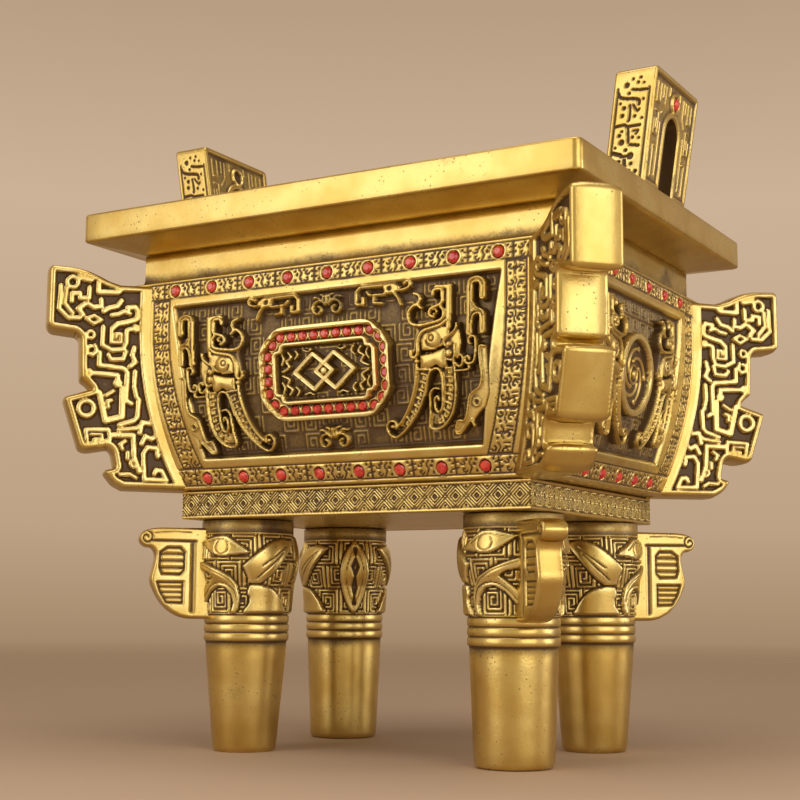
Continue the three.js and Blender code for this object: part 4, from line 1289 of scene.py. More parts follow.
    def plume(self, canvas: Canvas) -> None:
        """Raise the double hooks and the tail behind a long wall's bird."""
        bed, low, edge = self.bed, self.low, self.edge
        hooks = (
            ([(67.7, 170.2), (67.7, 175.0), (66.4, 176.6), (64.0, 176.6), (62.7, 175.2), (62.5, 170.0),
              (62.4, 164.0), (62.0, 157.6)], 2.7),
            ([(62.5, 162.2), (63.6, 164.4), (65.6, 165.0), (67.3, 164.0), (67.4, 157.8)], 2.5),
            ([(63.4, 168.0), (64.4, 166.4), (66.2, 165.2)], 1.8),
        )
        for line, width in hooks:
            canvas.emboss(Motif().curve(line, width), bed, self.top, edge)
            canvas.engrave(Motif().curve(line, 0.5), 1.2, 0.6)
        self.raise_lines(canvas, 1.2, [
            (62.4, 153.4), (61.6, 154.2), (62.2, 155.9), (64.2, 155.8), (64.4, 152.4), (63.8, 148.2),
            (62.8, 146.7), (60.4, 146.6), (59.9, 148.4), (61.2, 149.2), (61.6, 148.0),
        ])
        tail = [
            (65.6, 152.7), (68.8, 152.5), (69.0, 142.0), (68.6, 135.2), (66.8, 130.6), (63.8, 128.4),
            (61.8, 126.2), (61.2, 123.8), (60.1, 126.2), (57.8, 124.0), (55.4, 121.8), (53.3, 121.8),
            (54.5, 126.0), (57.4, 126.4), (58.8, 128.8), (59.9, 133.2), (61.0, 135.6), (63.4, 136.8),
            (65.2, 138.2), (65.8, 142.0), (65.5, 148.0),
        ]
        canvas.emboss(Motif().area(tail), bed, low + 0.5, edge)
        self.raise_lines(canvas, 1.0, [
            (68.2, 152.2), (66.0, 152.2), (65.7, 147.8), (66.1, 142.0), (65.2, 138.4), (63.2, 136.9),
            (61.0, 135.5), (60.0, 133.0), (58.8, 128.6), (57.4, 126.4), (54.8, 126.2), (53.6, 122.2),
            (55.6, 122.0), (58.0, 124.2), (60.2, 126.2), (61.4, 124.2),
        ])
        canvas.emboss(Motif().ring(63.2, 132.6, 1.3, 0.8), bed, self.top, edge)

    def build(self) -> None:
        """Make all eight birds."""
        for long in (True, False):
            canvas = Canvas.sheet((22.0, 118.0), (72.0 if long else 60.0, 180.0), self.pitch, self.bed)
            self.head(canvas)
            self.bands(canvas)
            self.feathers(canvas)
            if long:
                self.plume(canvas)
            canvas.settle()
            canvas.calm(0.7)
            canvas.calm(0.4)
            # Below its tops the bird is painted darker by height: patina at the relief's foot, and painted shade on
            # its sides, where the deep shadow round the relief falls.
            stain = np.maximum(canvas.recess(1.0, 1.8, 0.85, 0.9), 0.95 * smooth((0.8 - canvas.height) / 1.4))
            if not long:
                canvas = canvas.moved(self.short_step)
            for side in SIDES:
                if side.long != long:
                    continue
                for name, mirror in zip(side.birds, (True, False)):
                    shown, marks = (canvas.flipped(), stain[:, ::-1]) if mirror else (canvas, stain)
                    if name == "bird_front_left":
                        shown = shown.moved(*self.slip)
                    piece = relief_sheet(shown, marks, f"relief_{name}", side)
                    self.workshop.deliver(piece, Finish.BRASS, name)


@dataclass
class CartoucheRelief:
    """The eight-sided frame with its ring of stones, in the middle of each long wall."""

    workshop: Workshop
    middle: float = 148.3
    slip: float = -1.3
    half_length: float = 29.6
    half_height: float = 18.4
    bed: float = -3.4
    floor: float = -0.9
    well: float = -2.4

    def frame(self, inset: float, cut: float) -> Line:
        """The eight-sided outline at an inset."""
        a, b = self.half_length - inset, self.half_height - inset
        corners = [
            (a, b - cut), (a - cut, b), (cut - a, b), (-a, b - cut), (-a, cut - b), (cut - a, -b),
            (a - cut, -b), (a, cut - b),
        ]
        around = [corners[-1], *corners, corners[0]]
        return [(x, self.middle + z) for x, z in soften(around, 3.2)[1:-1]]

    def inner_frame(self, share_x: float = 1.0, share_z: float = 1.0) -> Line:
        """The inner border, whose corners are notched inward."""
        corner = [(22.6, 7.0), (21.6, 8.2), (19.6, 8.5), (19.0, 10.6), (17.8, 11.2)]
        points = [*corner, *[(-x, z) for x, z in reversed(corner)]]
        points += [(-x, -z) for x, z in corner] + [(x, -z) for x, z in reversed(corner)]
        return [(x * share_x, self.middle + z * share_z) for x, z in points]

    def stones(self) -> list[tuple[float, float]]:
        """Where the stones of the ring stand."""
        row = (-20.6, -15.4, -10.2, -5.1, 0.0, 5.1, 10.2, 15.4, 20.6)
        places = [(x, sign * 14.35) for x in row for sign in (-1, 1)]
        places += [(sign * 26.6, z) for z in (-7.2, -2.4, 2.4, 7.2) for sign in (-1, 1)]
        places += [(a * 24.4, b * 11.6) for a in (-1, 1) for b in (-1, 1)]
        return [(x, self.middle + z) for x, z in places]

    def flames(self, canvas: Canvas) -> None:
        """Raise the flame scrolls round the lozenges."""
        strokes = (
            ([(19.6, 0.8), (16.4, 2.4), (17.6, 4.6), (15.4, 6.2), (16.6, 8.2)], 1.0),
            ([(19.9, 3.4), (18.8, 5.6), (19.6, 7.2)], 0.9),
            ([(13.6, 5.4), (12.2, 7.0), (13.2, 8.6)], 0.9),
            ([(9.6, 8.6), (7.4, 7.9), (6.0, 8.8)], 0.8),
        )
        for sign in (-1, 1):
            for flip in (-1, 1):
                flame = Motif()
                for points, width in strokes:
                    flame.curve([(sign * x, self.middle + flip * z) for x, z in points], width)
                canvas.emboss(flame, self.well, 0.4, 0.7)

    def draw(self) -> Canvas:
        """Draw the cartouche."""
        m = self.middle
        canvas = Canvas.sheet((-31.5, m - 19.2), (31.5, m + 19.2), 0.3, self.bed)
        canvas.emboss(Motif().area(self.frame(0.2, 8.0)), self.bed, self.floor, 0.7)
        canvas.sink(Motif().area(self.inner_frame()), self.well, 0.8)
        for line, width, top in ((self.frame(1.1, 7.7), 2.3, 2.0), (self.inner_frame(), 1.8, 1.7)):
            border = Motif().line([*line, line[0]], width)
            canvas.emboss(border, self.bed, top, 0.8, dome=0.3, dome_reach=1.0)
        for x in (-4.8, 4.8):
            lozenge = [(x - 8.6, m), (x, m + 6.8), (x + 8.6, m), (x, m - 6.8), (x - 8.6, m)]
            canvas.emboss(Motif().line(lozenge, 1.9), self.well, 1.3, 0.8, (Contour(0.95, 0.25, 0.35),))
        canvas.emboss(Motif().disc(0, m, 1.5), self.well, 1.2, 0.8, dome=0.4, dome_reach=1.4)
        self.flames(canvas)
        for x, z in self.stones():
            canvas.emboss(Motif().ring(x, z, 2.3, 0.5), self.floor, self.floor + 0.5, 0.55)
            canvas.engrave(Motif().disc(x, z, 2.0), 0.8, 0.4)
        canvas.settle()
        return canvas

    def build(self) -> None:
        """Make both cartouches and their stones."""
        canvas = self.draw()
        stain = canvas.recess(1.1, 2.6)
        for side in (SIDES[0], SIDES[2]):
            piece = relief_sheet(canvas.moved(self.slip), stain, f"framed_cartouche_{side.name}", side)
            self.workshop.deliver(piece, Finish.BRASS, f"cartouche_{side.name}")
            gems = Gems()
            for x, z in self.stones():
                out = float(SIZES.face(z)) + self.floor + 0.1
                gems.set(x + self.slip, out, z, 1.95, 1.25, -float(SIZES.slope(z)))
            self.workshop.deliver(gems.make(f"cartouche_stones_{side.name}", side.place()), Finish.STONE)


@dataclass
class MedallionRelief:
    """The round medallion with a whorl, in the middle of each short wall."""

    workshop: Workshop
    middle: float = 148.4
    radius: float = 16.5
    bed: float = -3.4
    well: float = -1.4
    # The photographed medallion was set a little nearer the front and higher.
    slip: tuple[float, float] = (-3.2, 0.8)

    def draw(self) -> Canvas:
        """Draw the medallion."""
        m = self.middle
        canvas = Canvas.sheet((-17.6, m - 17.6), (17.6, m + 17.6), 0.3, self.bed)
        canvas.emboss(Motif().disc(0, m, self.radius - 0.2), self.bed, self.well, 0.8)
        canvas.emboss(Motif().ring(0, m, 15.0, 2.9), self.bed, 1.3, 0.8)
        for arm in range(5):
            whorl = spiral(0, m, 11.0, 5.2, arm * 72, 105, 12)
            canvas.emboss(Motif().line(whorl, 1.5), self.well, -0.5, 0.8)
            canvas.emboss(Motif().disc(*whorl[0], 1.3), self.well, -0.5, 0.8)
        canvas.emboss(Motif().ring(0, m, 3.6, 0.9), self.well, -0.5, 0.8)
        canvas.emboss(Motif().disc(0, m, 1.8), self.well, -0.5, 0.9, dome=0.5, dome_reach=1.8)
        return canvas

    def build(self) -> None:
        """Make both medallions."""
        canvas = self.draw()
        stain = canvas.recess(1.1, 2.0, 0.6, 0.7) + 0.15
        for side in (SIDES[1], SIDES[3]):
            shown = canvas.moved(*self.slip) if side.name == "right" else canvas
            piece = relief_sheet(shown, stain, f"whorl_medallion_{side.name}", side)
            self.workshop.deliver(piece, Finish.BRASS, f"medallion_{side.name}")


@dataclass
class Plate:
    """A flat casting: a carved sheet on each face, joined by an edge that follows its outline."""

    outline: Line
    half: float
    rounding: float
    pillow: float = 0.0
    open_edge: Callable[[Grid, Grid], Grid] | None = None
    edge_shade_and_patina: Callable[[Grid, Grid], Grid] | None = None

    def snapped(self, x: Grid, z: Grid) -> tuple[Grid, Grid]:
        """Move points to the nearest place on the plate's outline."""
        best = np.full(x.shape, np.inf)
        near_x, near_z = x.copy(), z.copy()
        closed = [*self.outline, self.outline[0]]
        for (x0, z0), (x1, z1) in zip(closed[:-1], closed[1:]):
            dx, dz = x1 - x0, z1 - z0
            span = dx * dx + dz * dz or 1.0
            share = np.clip(((x - x0) * dx + (z - z0) * dz) / span, 0.0, 1.0)
            px, pz = x0 + share * dx, z0 + share * dz
            distance = np.hypot(x - px, z - pz)
            nearer = distance < best
            best = np.where(nearer, distance, best)
            near_x, near_z = np.where(nearer, px, near_x), np.where(nearer, pz, near_z)
        return near_x, near_z

    def faces(self, cast: Cast, canvas: Canvas, stain: Grid) -> None:
        """Add the carved sheet to both faces, which look along -Y and +Y.

        Args:
            cast: collects the sheets.
            canvas: the heights on the face.
            stain: their patina.
        """
        gap = gap_to_area(self.outline, canvas.x, canvas.z)
        inside = gap < 0
        keep = inside[:-1, :-1] | inside[:-1, 1:] | inside[1:, :-1] | inside[1:, 1:]
        xs, zs = canvas.x.copy(), canvas.z.copy()
        rim = (gap >= 0) & (gap < canvas.pitch * 1.6)
        xs[rim], zs[rim] = self.snapped(canvas.x[rim], canvas.z[rim])
        held = np.clip(self.rounding + np.minimum(gap, 0.0), 0.0, self.rounding)
        drop = self.rounding - np.sqrt(np.maximum(self.rounding**2 - held**2, 0.0))
        depth = self.half - drop + canvas.height * smooth(-gap / (self.rounding * 1.2))
        cast.grid(np.stack([xs, -depth, zs], axis=-1), stain, keep)
        back = np.stack([xs, depth, zs], axis=-1)
        cast.grid(back[:, ::-1], stain[:, ::-1], keep[:, ::-1])

    def edge(self, cast: Cast) -> None:
        """Add the edge between the two faces."""
        closed = np.array([*self.outline, self.outline[0]], float)
        lengths = np.concatenate([[0.0], np.cumsum(np.hypot(*np.diff(closed, axis=0).T))])
        even = np.linspace(0, lengths[-1], max(int(lengths[-1] / 0.9), 12) + 1)
        at = np.unique(np.round(np.concatenate([even, lengths]), 4))[:-1]
        x, z = np.interp(at, lengths, closed[:, 0]), np.interp(at, lengths, closed[:, 1])
        along = np.stack([np.roll(x, -1) - np.roll(x, 1), np.roll(z, -1) - np.roll(z, 1)])
        along /= np.maximum(np.hypot(*along), 1e-9)
        hand = 1.0 if float(np.sum(x * np.roll(z, -1) - np.roll(x, -1) * z)) > 0 else -1.0
        normal = np.stack([along[1], -along[0]]) * hand
        rows = []
        for level in np.linspace(-1, 1, 9):
            swell = self.pillow * (1 - level**4)
            across = np.full(x.shape, level * (self.half - self.rounding))
            rows.append(np.stack([x + normal[0] * swell, across, z + normal[1] * swell], axis=-1))
        points = np.array(rows)
        keep = None
        if self.open_edge is not None:
            mid_x, mid_z = (x + np.roll(x, -1)) / 2, (z + np.roll(z, -1)) / 2
            keep = np.broadcast_to(~self.open_edge(mid_x, mid_z), (len(rows) - 1, len(x)))
        stain = 0.0
        if self.edge_shade_and_patina is not None:
            stain = np.broadcast_to(self.edge_shade_and_patina(x, z), (len(rows), len(x)))
        cast.grid(points[::-1] if hand > 0 else points, stain, keep, close=True)


@dataclass
class Flanges:
    """The four stepped corner flanges."""

    workshop: Workshop
    half: float = 9.0
    bed: float = -1.9
    swell: float = 0.6

    # The outline from the root's top, outward and down to its foot: reach from the corner, rise.
    STEPS = (
        (3, 84), (8, 85.5), (12, 87.5), (17, 89.5), (22, 90.5), (30.8, 91), (32, 89.6), (32, 66.5),
        (30.5, 64.7), (20.3, 63.6), (18.6, 61.5), (18, 44.6), (16.2, 43.6), (13, 40.2), (24.5, 36.6),
        (17.8, 16.2), (15.2, 15.4), (6, 17), (4.4, 15), (3, 8.2), (7.5, 7), (4, 2.5), (0, 0.4),
    )
    # The near corner's flange, whose blocks stand closer together.
    NEAR_STEPS = (
        (3, 86.5), (8, 88.2), (12, 90.4), (17, 92.4), (22, 93.5), (30.8, 94), (32, 92.6), (32, 66.4),
        (30.8, 65.2), (19.6, 67.2), (18.5, 66), (18, 45), (16.4, 44), (13, 43.2), (13.2, 41.2),
        (23.4, 40.2), (24.7, 38.8), (18.2, 17.2), (15.8, 16), (6, 17.2), (4.6, 15.2), (3.4, 9.2),
        (7.5, 8), (7.9, 6.6), (4, 2.5), (0, 0.4),
    )
    # Raised lines of the face: points as reach and height, and the line's width.
    STROKES = (
        ([(4.4, 186.4), (12.2, 186.2), (12.2, 193.4)], 1.9),
        ([(4.0, 187.6), (4.0, 187.6)], 3.4),
        ([(4.6, 188.6), (12.0, 193.6)], 1.7),
        ([(15.6, 191.6), (19.4, 192.2)], 3.2),
        ([(15.8, 187.8), (16.0, 183.4), (19.6, 183.2), (19.6, 185.2), (22.8, 185.0), (22.8, 181.8)], 1.7),
        ([(25.2, 187.0), (25.6, 180.6), (22.4, 176.8)], 1.7),
        ([(27.4, 188.0), (27.8, 178.4), (24.0, 174.8), (19.4, 175.0)], 1.7),
        ([(17.6, 180.8), (20.2, 178.8), (18.2, 176.4)], 2.0),
        ([(0.2, 180.2), (-3.0, 180.6), (-4.2, 178.2), (-3.4, 175.4), (0.2, 174.2), (4.2, 173.2), (6.0, 171.4)], 2.0),
        ([(-0.8, 177.8), (1.6, 178.6), (4.2, 177.2), (6.6, 176.8)], 1.6),
        ([(2.8, 183.0), (4.4, 180.6), (8.0, 179.6), (9.8, 178.2)], 1.9),
        ([(11.0, 183.0), (10.8, 180.2), (13.8, 179.6), (16.4, 181.2)], 1.8),
        ([(10.6, 174.6), (13.6, 176.2), (16.8, 174.8), (13.6, 172.8), (10.6, 174.6)], 1.3),
        ([(-3.4, 171.8), (-3.4, 171.8)], 3.4),
        ([(-2.4, 171.6), (0.2, 170.8), (0.4, 165.4), (1.6, 162.8), (6.0, 162.2), (10.0, 164.2), (9.8, 171.8)], 1.7),
        ([(6.4, 171.4), (6.4, 165.4), (2.6, 165.6), (2.6, 169.2), (4.6, 169.0), (4.6, 167.4)], 1.3),
        ([(13.0, 163.8), (12.2, 161.8), (13.8, 159.8), (16.0, 160.6), (16.0, 163.0), (14.6, 163.4)], 1.5),
        ([(-3.0, 163.6), (-2.2, 160.4), (-3.6, 157.6), (-1.4, 155.8)], 1.9),
        ([(0.4, 162.0), (1.4, 158.6), (6.4, 158.4), (7.4, 160.2)], 1.6),
        ([(11.0, 161.0), (11.0, 155.8), (1.0, 154.8), (-0.4, 153.2), (-0.2, 141.6), (-2.4, 140.4)], 1.8),
        ([(-3.6, 153.8), (-3.4, 147.4), (-4.4, 143.2), (-5.4, 142.2)], 1.7),
        ([(14.8, 152.4), (3.4, 151.9), (3.2, 148.8)], 1.8),
        ([(1.3, 146.6), (1.2, 134.8), (7.8, 133.0), (10.6, 144.4), (13.2, 145.4)], 2.3),
        ([(5.0, 145.2), (8.0, 143.4)], 1.5),
        ([(5.6, 141.4), (7.4, 141.0), (6.8, 138.6)], 1.4),
        ([(-5.4, 141.8), (-5.0, 135.0), (-3.6, 133.4), (2.2, 131.4)], 1.8),
        ([(2.4, 129.4), (-4.4, 130.2), (-6.4, 131.6)], 1.6),
        ([(-11.2, 134.0), (-10.2, 132.4), (-7.0, 132.8), (-6.2, 128.4)], 1.8),
        ([(5.4, 127.2), (-3.6, 127.3), (-4.2, 118.4), (-6.4, 112.6)], 1.9),
        ([(6.4, 129.4), (15.6, 129.0), (14.6, 123.2), (5.8, 125.2), (6.4, 129.4)], 1.5),
        ([(13.4, 127.2), (9.0, 127.4), (8.8, 125.8), (12.4, 125.2)], 1.0),
        ([(-0.4, 124.8), (1.6, 123.6), (0.6, 121.6)], 1.5),
        ([(-1.6, 120.2), (-1.6, 117.8)], 1.5),
        ([(-12.8, 127.4), (-11.0, 126.0), (-8.6, 127.2), (-7.0, 124.0)], 1.8),
        ([(-13.8, 119.0), (-13.2, 122.4), (-9.4, 122.6), (-7.8, 119.8), (-8.6, 109.4), (-17.6, 109.2),
          (-15.4, 113.2), (-13.2, 113.4), (-12.6, 111.8)], 1.7),
        ([(-5.2, 110.0), (-2.8, 111.4), (1.4, 111.2)], 1.3),
    )
    # Raised rings: middle, radius and the line's width.
    RINGS = (
        (22.7, 189.7, 2.2, 1.5), (15.6, 137.9, 3.1, 1.7), (14.8, 168.2, 1.5, 1.2), (15.0, 152.4, 1.3, 1.0),
        (3.3, 148.7, 1.3, 1.0), (-4.2, 115.8, 1.4, 1.1),
    )

    def root_line(self, offset: float, low: float, high: float) -> Line:
        """The line at an offset outward from where the walls meet the flange's faces."""
        return [
            (math.sqrt(2) * float(SIZES.face(z)) - self.half + offset, z) for z in np.linspace(low, high, 14)
        ]

    def draw(self, outline: Line) -> Canvas:
        """Draw the ornament of one face."""
        canvas = Canvas.sheet((-33.0, 104.6), (33.2, 200.9), 0.46)
        gap = gap_to_area(outline, canvas.x, canvas.z)
        root = [(-80.0, 106.0), *self.root_line(4.3, 106.0, 189.9), (-80.0, 189.9)]
        outside = np.maximum(gap + 2.6, -gap_to_area(root, canvas.x, canvas.z))
        canvas.height = self.bed * smooth(0.5 - outside / 0.8)
        ornament = Motif()
        for line, width in self.STROKES:
            ornament.line(line, width + self.swell)
        for x, z, radius, width in self.RINGS:
            ornament.ring(x, z, radius, width + self.swell)
        canvas.emboss(ornament, self.bed, -0.1, 0.8)
        return canvas

    def build(self) -> None:
        """Make the four flanges."""
        for corner in CORNERS:
            near = corner.name == "front_right"
            steps = self.NEAR_STEPS if near else self.STEPS
            steps = soften([(out, SIZES.wall_foot + rise) for out, rise in steps], 1.2)
            outline = [*steps, *self.root_line(-2.2, 105.6, 189.8)]
            plate = Plate(outline, self.half + 0.5 * near, 1.7, pillow=0.7)
            canvas = self.draw(outline)
            stain = canvas.recess(1.2, 2.4, 0.8, 0.6) + 0.06
            cast = Cast()
            plate.faces(cast, canvas, stain)
            plate.edge(cast)
            piece = cast.make(f"carved_flange_{corner.name}", corner.place(SIZES.basin_x, SIZES.basin_y))
            self.workshop.deliver(piece, Finish.BRASS, f"flange_{corner.name}")


@dataclass
class Legs:
    """The four carved legs. Their canvas is the belly unrolled: 0.35 mm to a degree from the tab."""

    workshop: Workshop
    belly_top: float = 88.3
    belly_foot: float = 55.1
    belly_height: float = 33.2
    ring_pitch: float = 3.6
    shaft_radius: float = 16.8
    foot_radius: float = 14.0
    core_radius: float = 12.4
    degree: float = 0.35
    bed: float = -1.2
    top: float = 0.7
    feet: dict[str, float] = field(default_factory=lambda: {
        "front_left": 13.1, "front_right": 15.1, "back_right": 13.5, "back_left": 15.0,
    })

    def at(self, points: Line) -> Line:
        """Places on the canvas for angles from the tab and heights."""
        return [(angle * self.degree, z) for angle, z in points]

    def plain_belly(self, z: float) -> float:
        """The belly's radius without its carving."""
        share = (self.belly_top - z) / self.belly_height
        swell = 1.5 * math.sin(math.pi * min(share / 0.62, 1.0))
        return 19 + swell - 1.0 * float(smooth((share - 0.4) / 0.6))

    def ground(self, canvas: Canvas) -> None:
        """Cover the belly with a comb under its collar and square spirals."""
        for row, z in enumerate((61.0, 71.6, 82.2)):
            for column in range(7):
                x = (column + 0.45 * (row % 2)) * 11.6 + 3.4
                hand = 1 if (row + column) % 2 else -1
                canvas.emboss(Motif().line(key_spiral(x, z, 4.5, 1.55, hand, -hand), 0.8), self.bed, -0.1, 0.55)
                for bar in (5.05, 6.55):
                    upright = Motif().line([(x + bar, z - 4.9), (x + bar, z + 4.9)], 0.8)
                    canvas.emboss(upright, self.bed, -0.1, 0.55)

    def leaf(self, canvas: Canvas, points: Line, dome: float = 0.2) -> None:
        """Raise a flat leaf with a smooth outline."""
        outline = Motif().area(flow(self.at(points)))
        canvas.sink(Motif().line(flow(self.at([*points, points[0]])), 1.2), self.bed, 0.5)
        canvas.emboss(outline, self.bed, self.top, 0.5, (), dome, 3.0)

    def eye(self, canvas: Canvas) -> None:
        """Raise the eye and the forked ribbon beside the tab."""
        almond = [
            (14, 84.9), (29, 85.9), (41, 86.9), (55, 86.8), (66, 84.4), (83, 80.2), (66, 79.2), (52, 78.6),
            (40, 79.2), (30, 81.2), (14, 84.9),
        ]
        self.leaf(canvas, almond, 0.2)
        canvas.engrave(Motif().curve(self.at([(20, 84.2), (31, 84.8), (42, 85.6), (54, 85.4), (68, 82.2)]), 0.4), 0.4)
        middle = 50 * self.degree
        canvas.engrave(Motif().line(spiral(middle, 82.3, 3.0, 3.0, 130, 280), 0.4), 0.35, 0.4)
        ribbon = [
            (11, 76.9), (29, 75.0), (46, 72.6), (60, 70.0), (68, 67.0), (72, 62.0), (70, 57.6), (66, 55.3),
            (59, 55.3), (63, 59.6), (60, 63.2), (52, 66.0), (41, 66.5), (29, 64.4), (14, 59.2), (9, 63.4),
            (22, 67.0), (35, 70.2), (28, 72.0), (10, 73.2),
        ]
        outline = Motif().area(self.at(ribbon))
        canvas.sink(Motif().line(self.at([*ribbon, ribbon[0]]), 1.2), self.bed, 0.5)
        canvas.emboss(outline, self.bed, self.top, 0.5, dome=0.15)
        veins = Motif().curve(self.at([(12, 75.8), (29, 73.9), (46, 71.4), (59, 68.8), (66, 66.0)]), 0.4)
        veins.curve(self.at([(68, 61.0), (64, 65.0), (54, 67.3), (41, 67.8), (28, 65.8), (14, 60.8)]), 0.4)
        canvas.engrave(veins, 0.45, 0.4)

    def leaves(self, canvas: Canvas) -> None:
        """Raise the joined leaves on the sides and the seed on the inner face."""
        self.leaf(canvas, [
            (75, 74.6), (84, 77.4), (98, 81.6), (112, 84.6), (128, 85.8), (144, 84.6), (138, 82.0),
            (126, 77.2), (112, 71.4), (100, 68.2), (89, 66.4), (82, 66.2), (81, 70.0), (75, 74.6),
        ])
        veins = Motif().curve(self.at([(92, 69.6), (106, 74.0), (124, 80.4)]), 0.4)
        veins.curve(self.at([(98, 74.6), (112, 78.4), (130, 83.0)]), 0.4)
        canvas.engrave(veins, 0.4, 0.4)
        self.leaf(canvas, [
            (84, 67.0), (98, 67.0), (114, 65.6), (126, 62.4), (134, 58.6), (137, 55.8), (106, 55.6),
            (77, 55.6), (83, 59.4), (84, 62.0), (81, 63.6), (84, 67.0),
        ])
        self.leaf(canvas, [
            (180, 88.2), (167, 82.0), (161, 72.4), (167, 62.0), (180, 55.6), (193, 62.0), (199, 72.4),
            (193, 82.0), (180, 88.2),
        ])
        slot = [(179, 84.0), (182, 80.6), (177, 76.0), (181, 71.6), (178, 67.0), (181, 63.0), (179, 60.0)]
        canvas.engrave(Motif().line(self.at(slot), 1.5), 0.9, 1.0)
        edge = [(180, 86), (172, 79.0), (169, 72.4), (172, 65.0), (180, 58.6)]
        canvas.engrave(Motif().curve(self.at(edge), 0.35), 0.35, 0.4)

    def draw(self) -> Canvas:
        """Draw the carving of the belly."""
        canvas = Canvas.sheet((0.0, 55.5), (180 * self.degree, 87.9), 0.45, self.bed)
        self.ground(canvas)
        self.eye(canvas)
        self.leaves(canvas)
        canvas.settle()
        share = smooth((canvas.z - 55.5) / 0.8) * smooth((87.9 - canvas.z) / 0.8)
        canvas.height = canvas.height * share
        return canvas.mirrored()

    def build(self) -> None:
        """Make the four legs."""
        canvas = self.draw()
        stain = canvas.recess(1.0, 1.3, 0.7, 0.6)
        upper = [(0.0, 93.5), (12.0, 93.5), (18.4, 93.5), (18.8, 93.35), (19.0, 93.0), (19.0, 90.6), (19.0, 88.3)]
        lower, marks = [], []
        for ring in range(3):
            top = self.belly_foot - ring * self.ring_pitch
            for t in np.linspace(0, 1, 11)[:-1]:
                lower.append((16.85 + 0.7 * math.sin(math.pi * t) ** 0.3, top - self.ring_pitch * t))
                marks.append(1.0 - 1.15 * math.sin(math.pi * t) ** 0.45)
        lower += [(16.75, 44.3), (self.shaft_radius - 0.2, 43.2)]
        marks += [0.9, 0.5]
        for t in np.linspace(0, 1, 12)[1:]:
            radius = self.shaft_radius + (self.foot_radius - self.shaft_radius) * t
            lower.append((radius, 43.2 - 40.7 * t))
        lower += [(13.85, 1.6), (13.55, 0.8), (12.95, 0.25), (12.1, 0.0), (10.1, 0.0), (9.7, 0.5)]
        lower += [(self.core_radius, 44.3)]
        lower += [(self.core_radius, 85.5), (0.0, 85.5)]
        belly = canvas.up[::-1]
        columns = len(canvas.across) - 1
        radii = [np.full(columns, r) for r, _ in upper]
        radii += [self.plain_belly(z) + row[:-1] for z, row in zip(belly, canvas.height[::-1])]
        radii += [np.full(columns, r) for r, _ in lower]
        heights = np.array([*[z for _, z in upper], *belly, *[z for _, z in lower]])[:, None]
        marks += [0.0] * (len(lower) - len(marks))
        # The collar under the basin is painted dark: its patina, and painted shade from the basin above it.
        collar = np.array([0.6, 0.6, 0.5, 0.5, 0.5, 0.4, 0.7])[:, None] * np.ones(columns)
        patina_and_shade = np.concatenate([collar, stain[::-1, :-1], np.array(marks)[:, None] * np.ones(columns)])
        angles = np.radians(canvas.across[:-1] / self.degree)
        radii = np.array(radii)
        outside = radii > self.core_radius + 0.5
        for corner in CORNERS:
            # Each shaft was filed by hand and tapers a little differently.
            change = (self.feet[corner.name] - self.foot_radius) * np.clip((43.2 - heights) / 41.0, 0.0, 1.0)
            filed = radii + np.where(outside & (radii < 17), change, 0.0)
            points = np.stack([
                filed * np.cos(angles), filed * np.sin(angles), np.broadcast_to(heights, filed.shape),
            ], axis=-1)
            cast = Cast()
            cast.grid(points, patina_and_shade, close=True)
            piece = cast.make(f"carved_leg_{corner.name}", corner.place(SIZES.leg_x, SIZES.leg_y), flip=True)
            self.workshop.deliver(piece, Finish.BRASS, f"leg_{corner.name}")


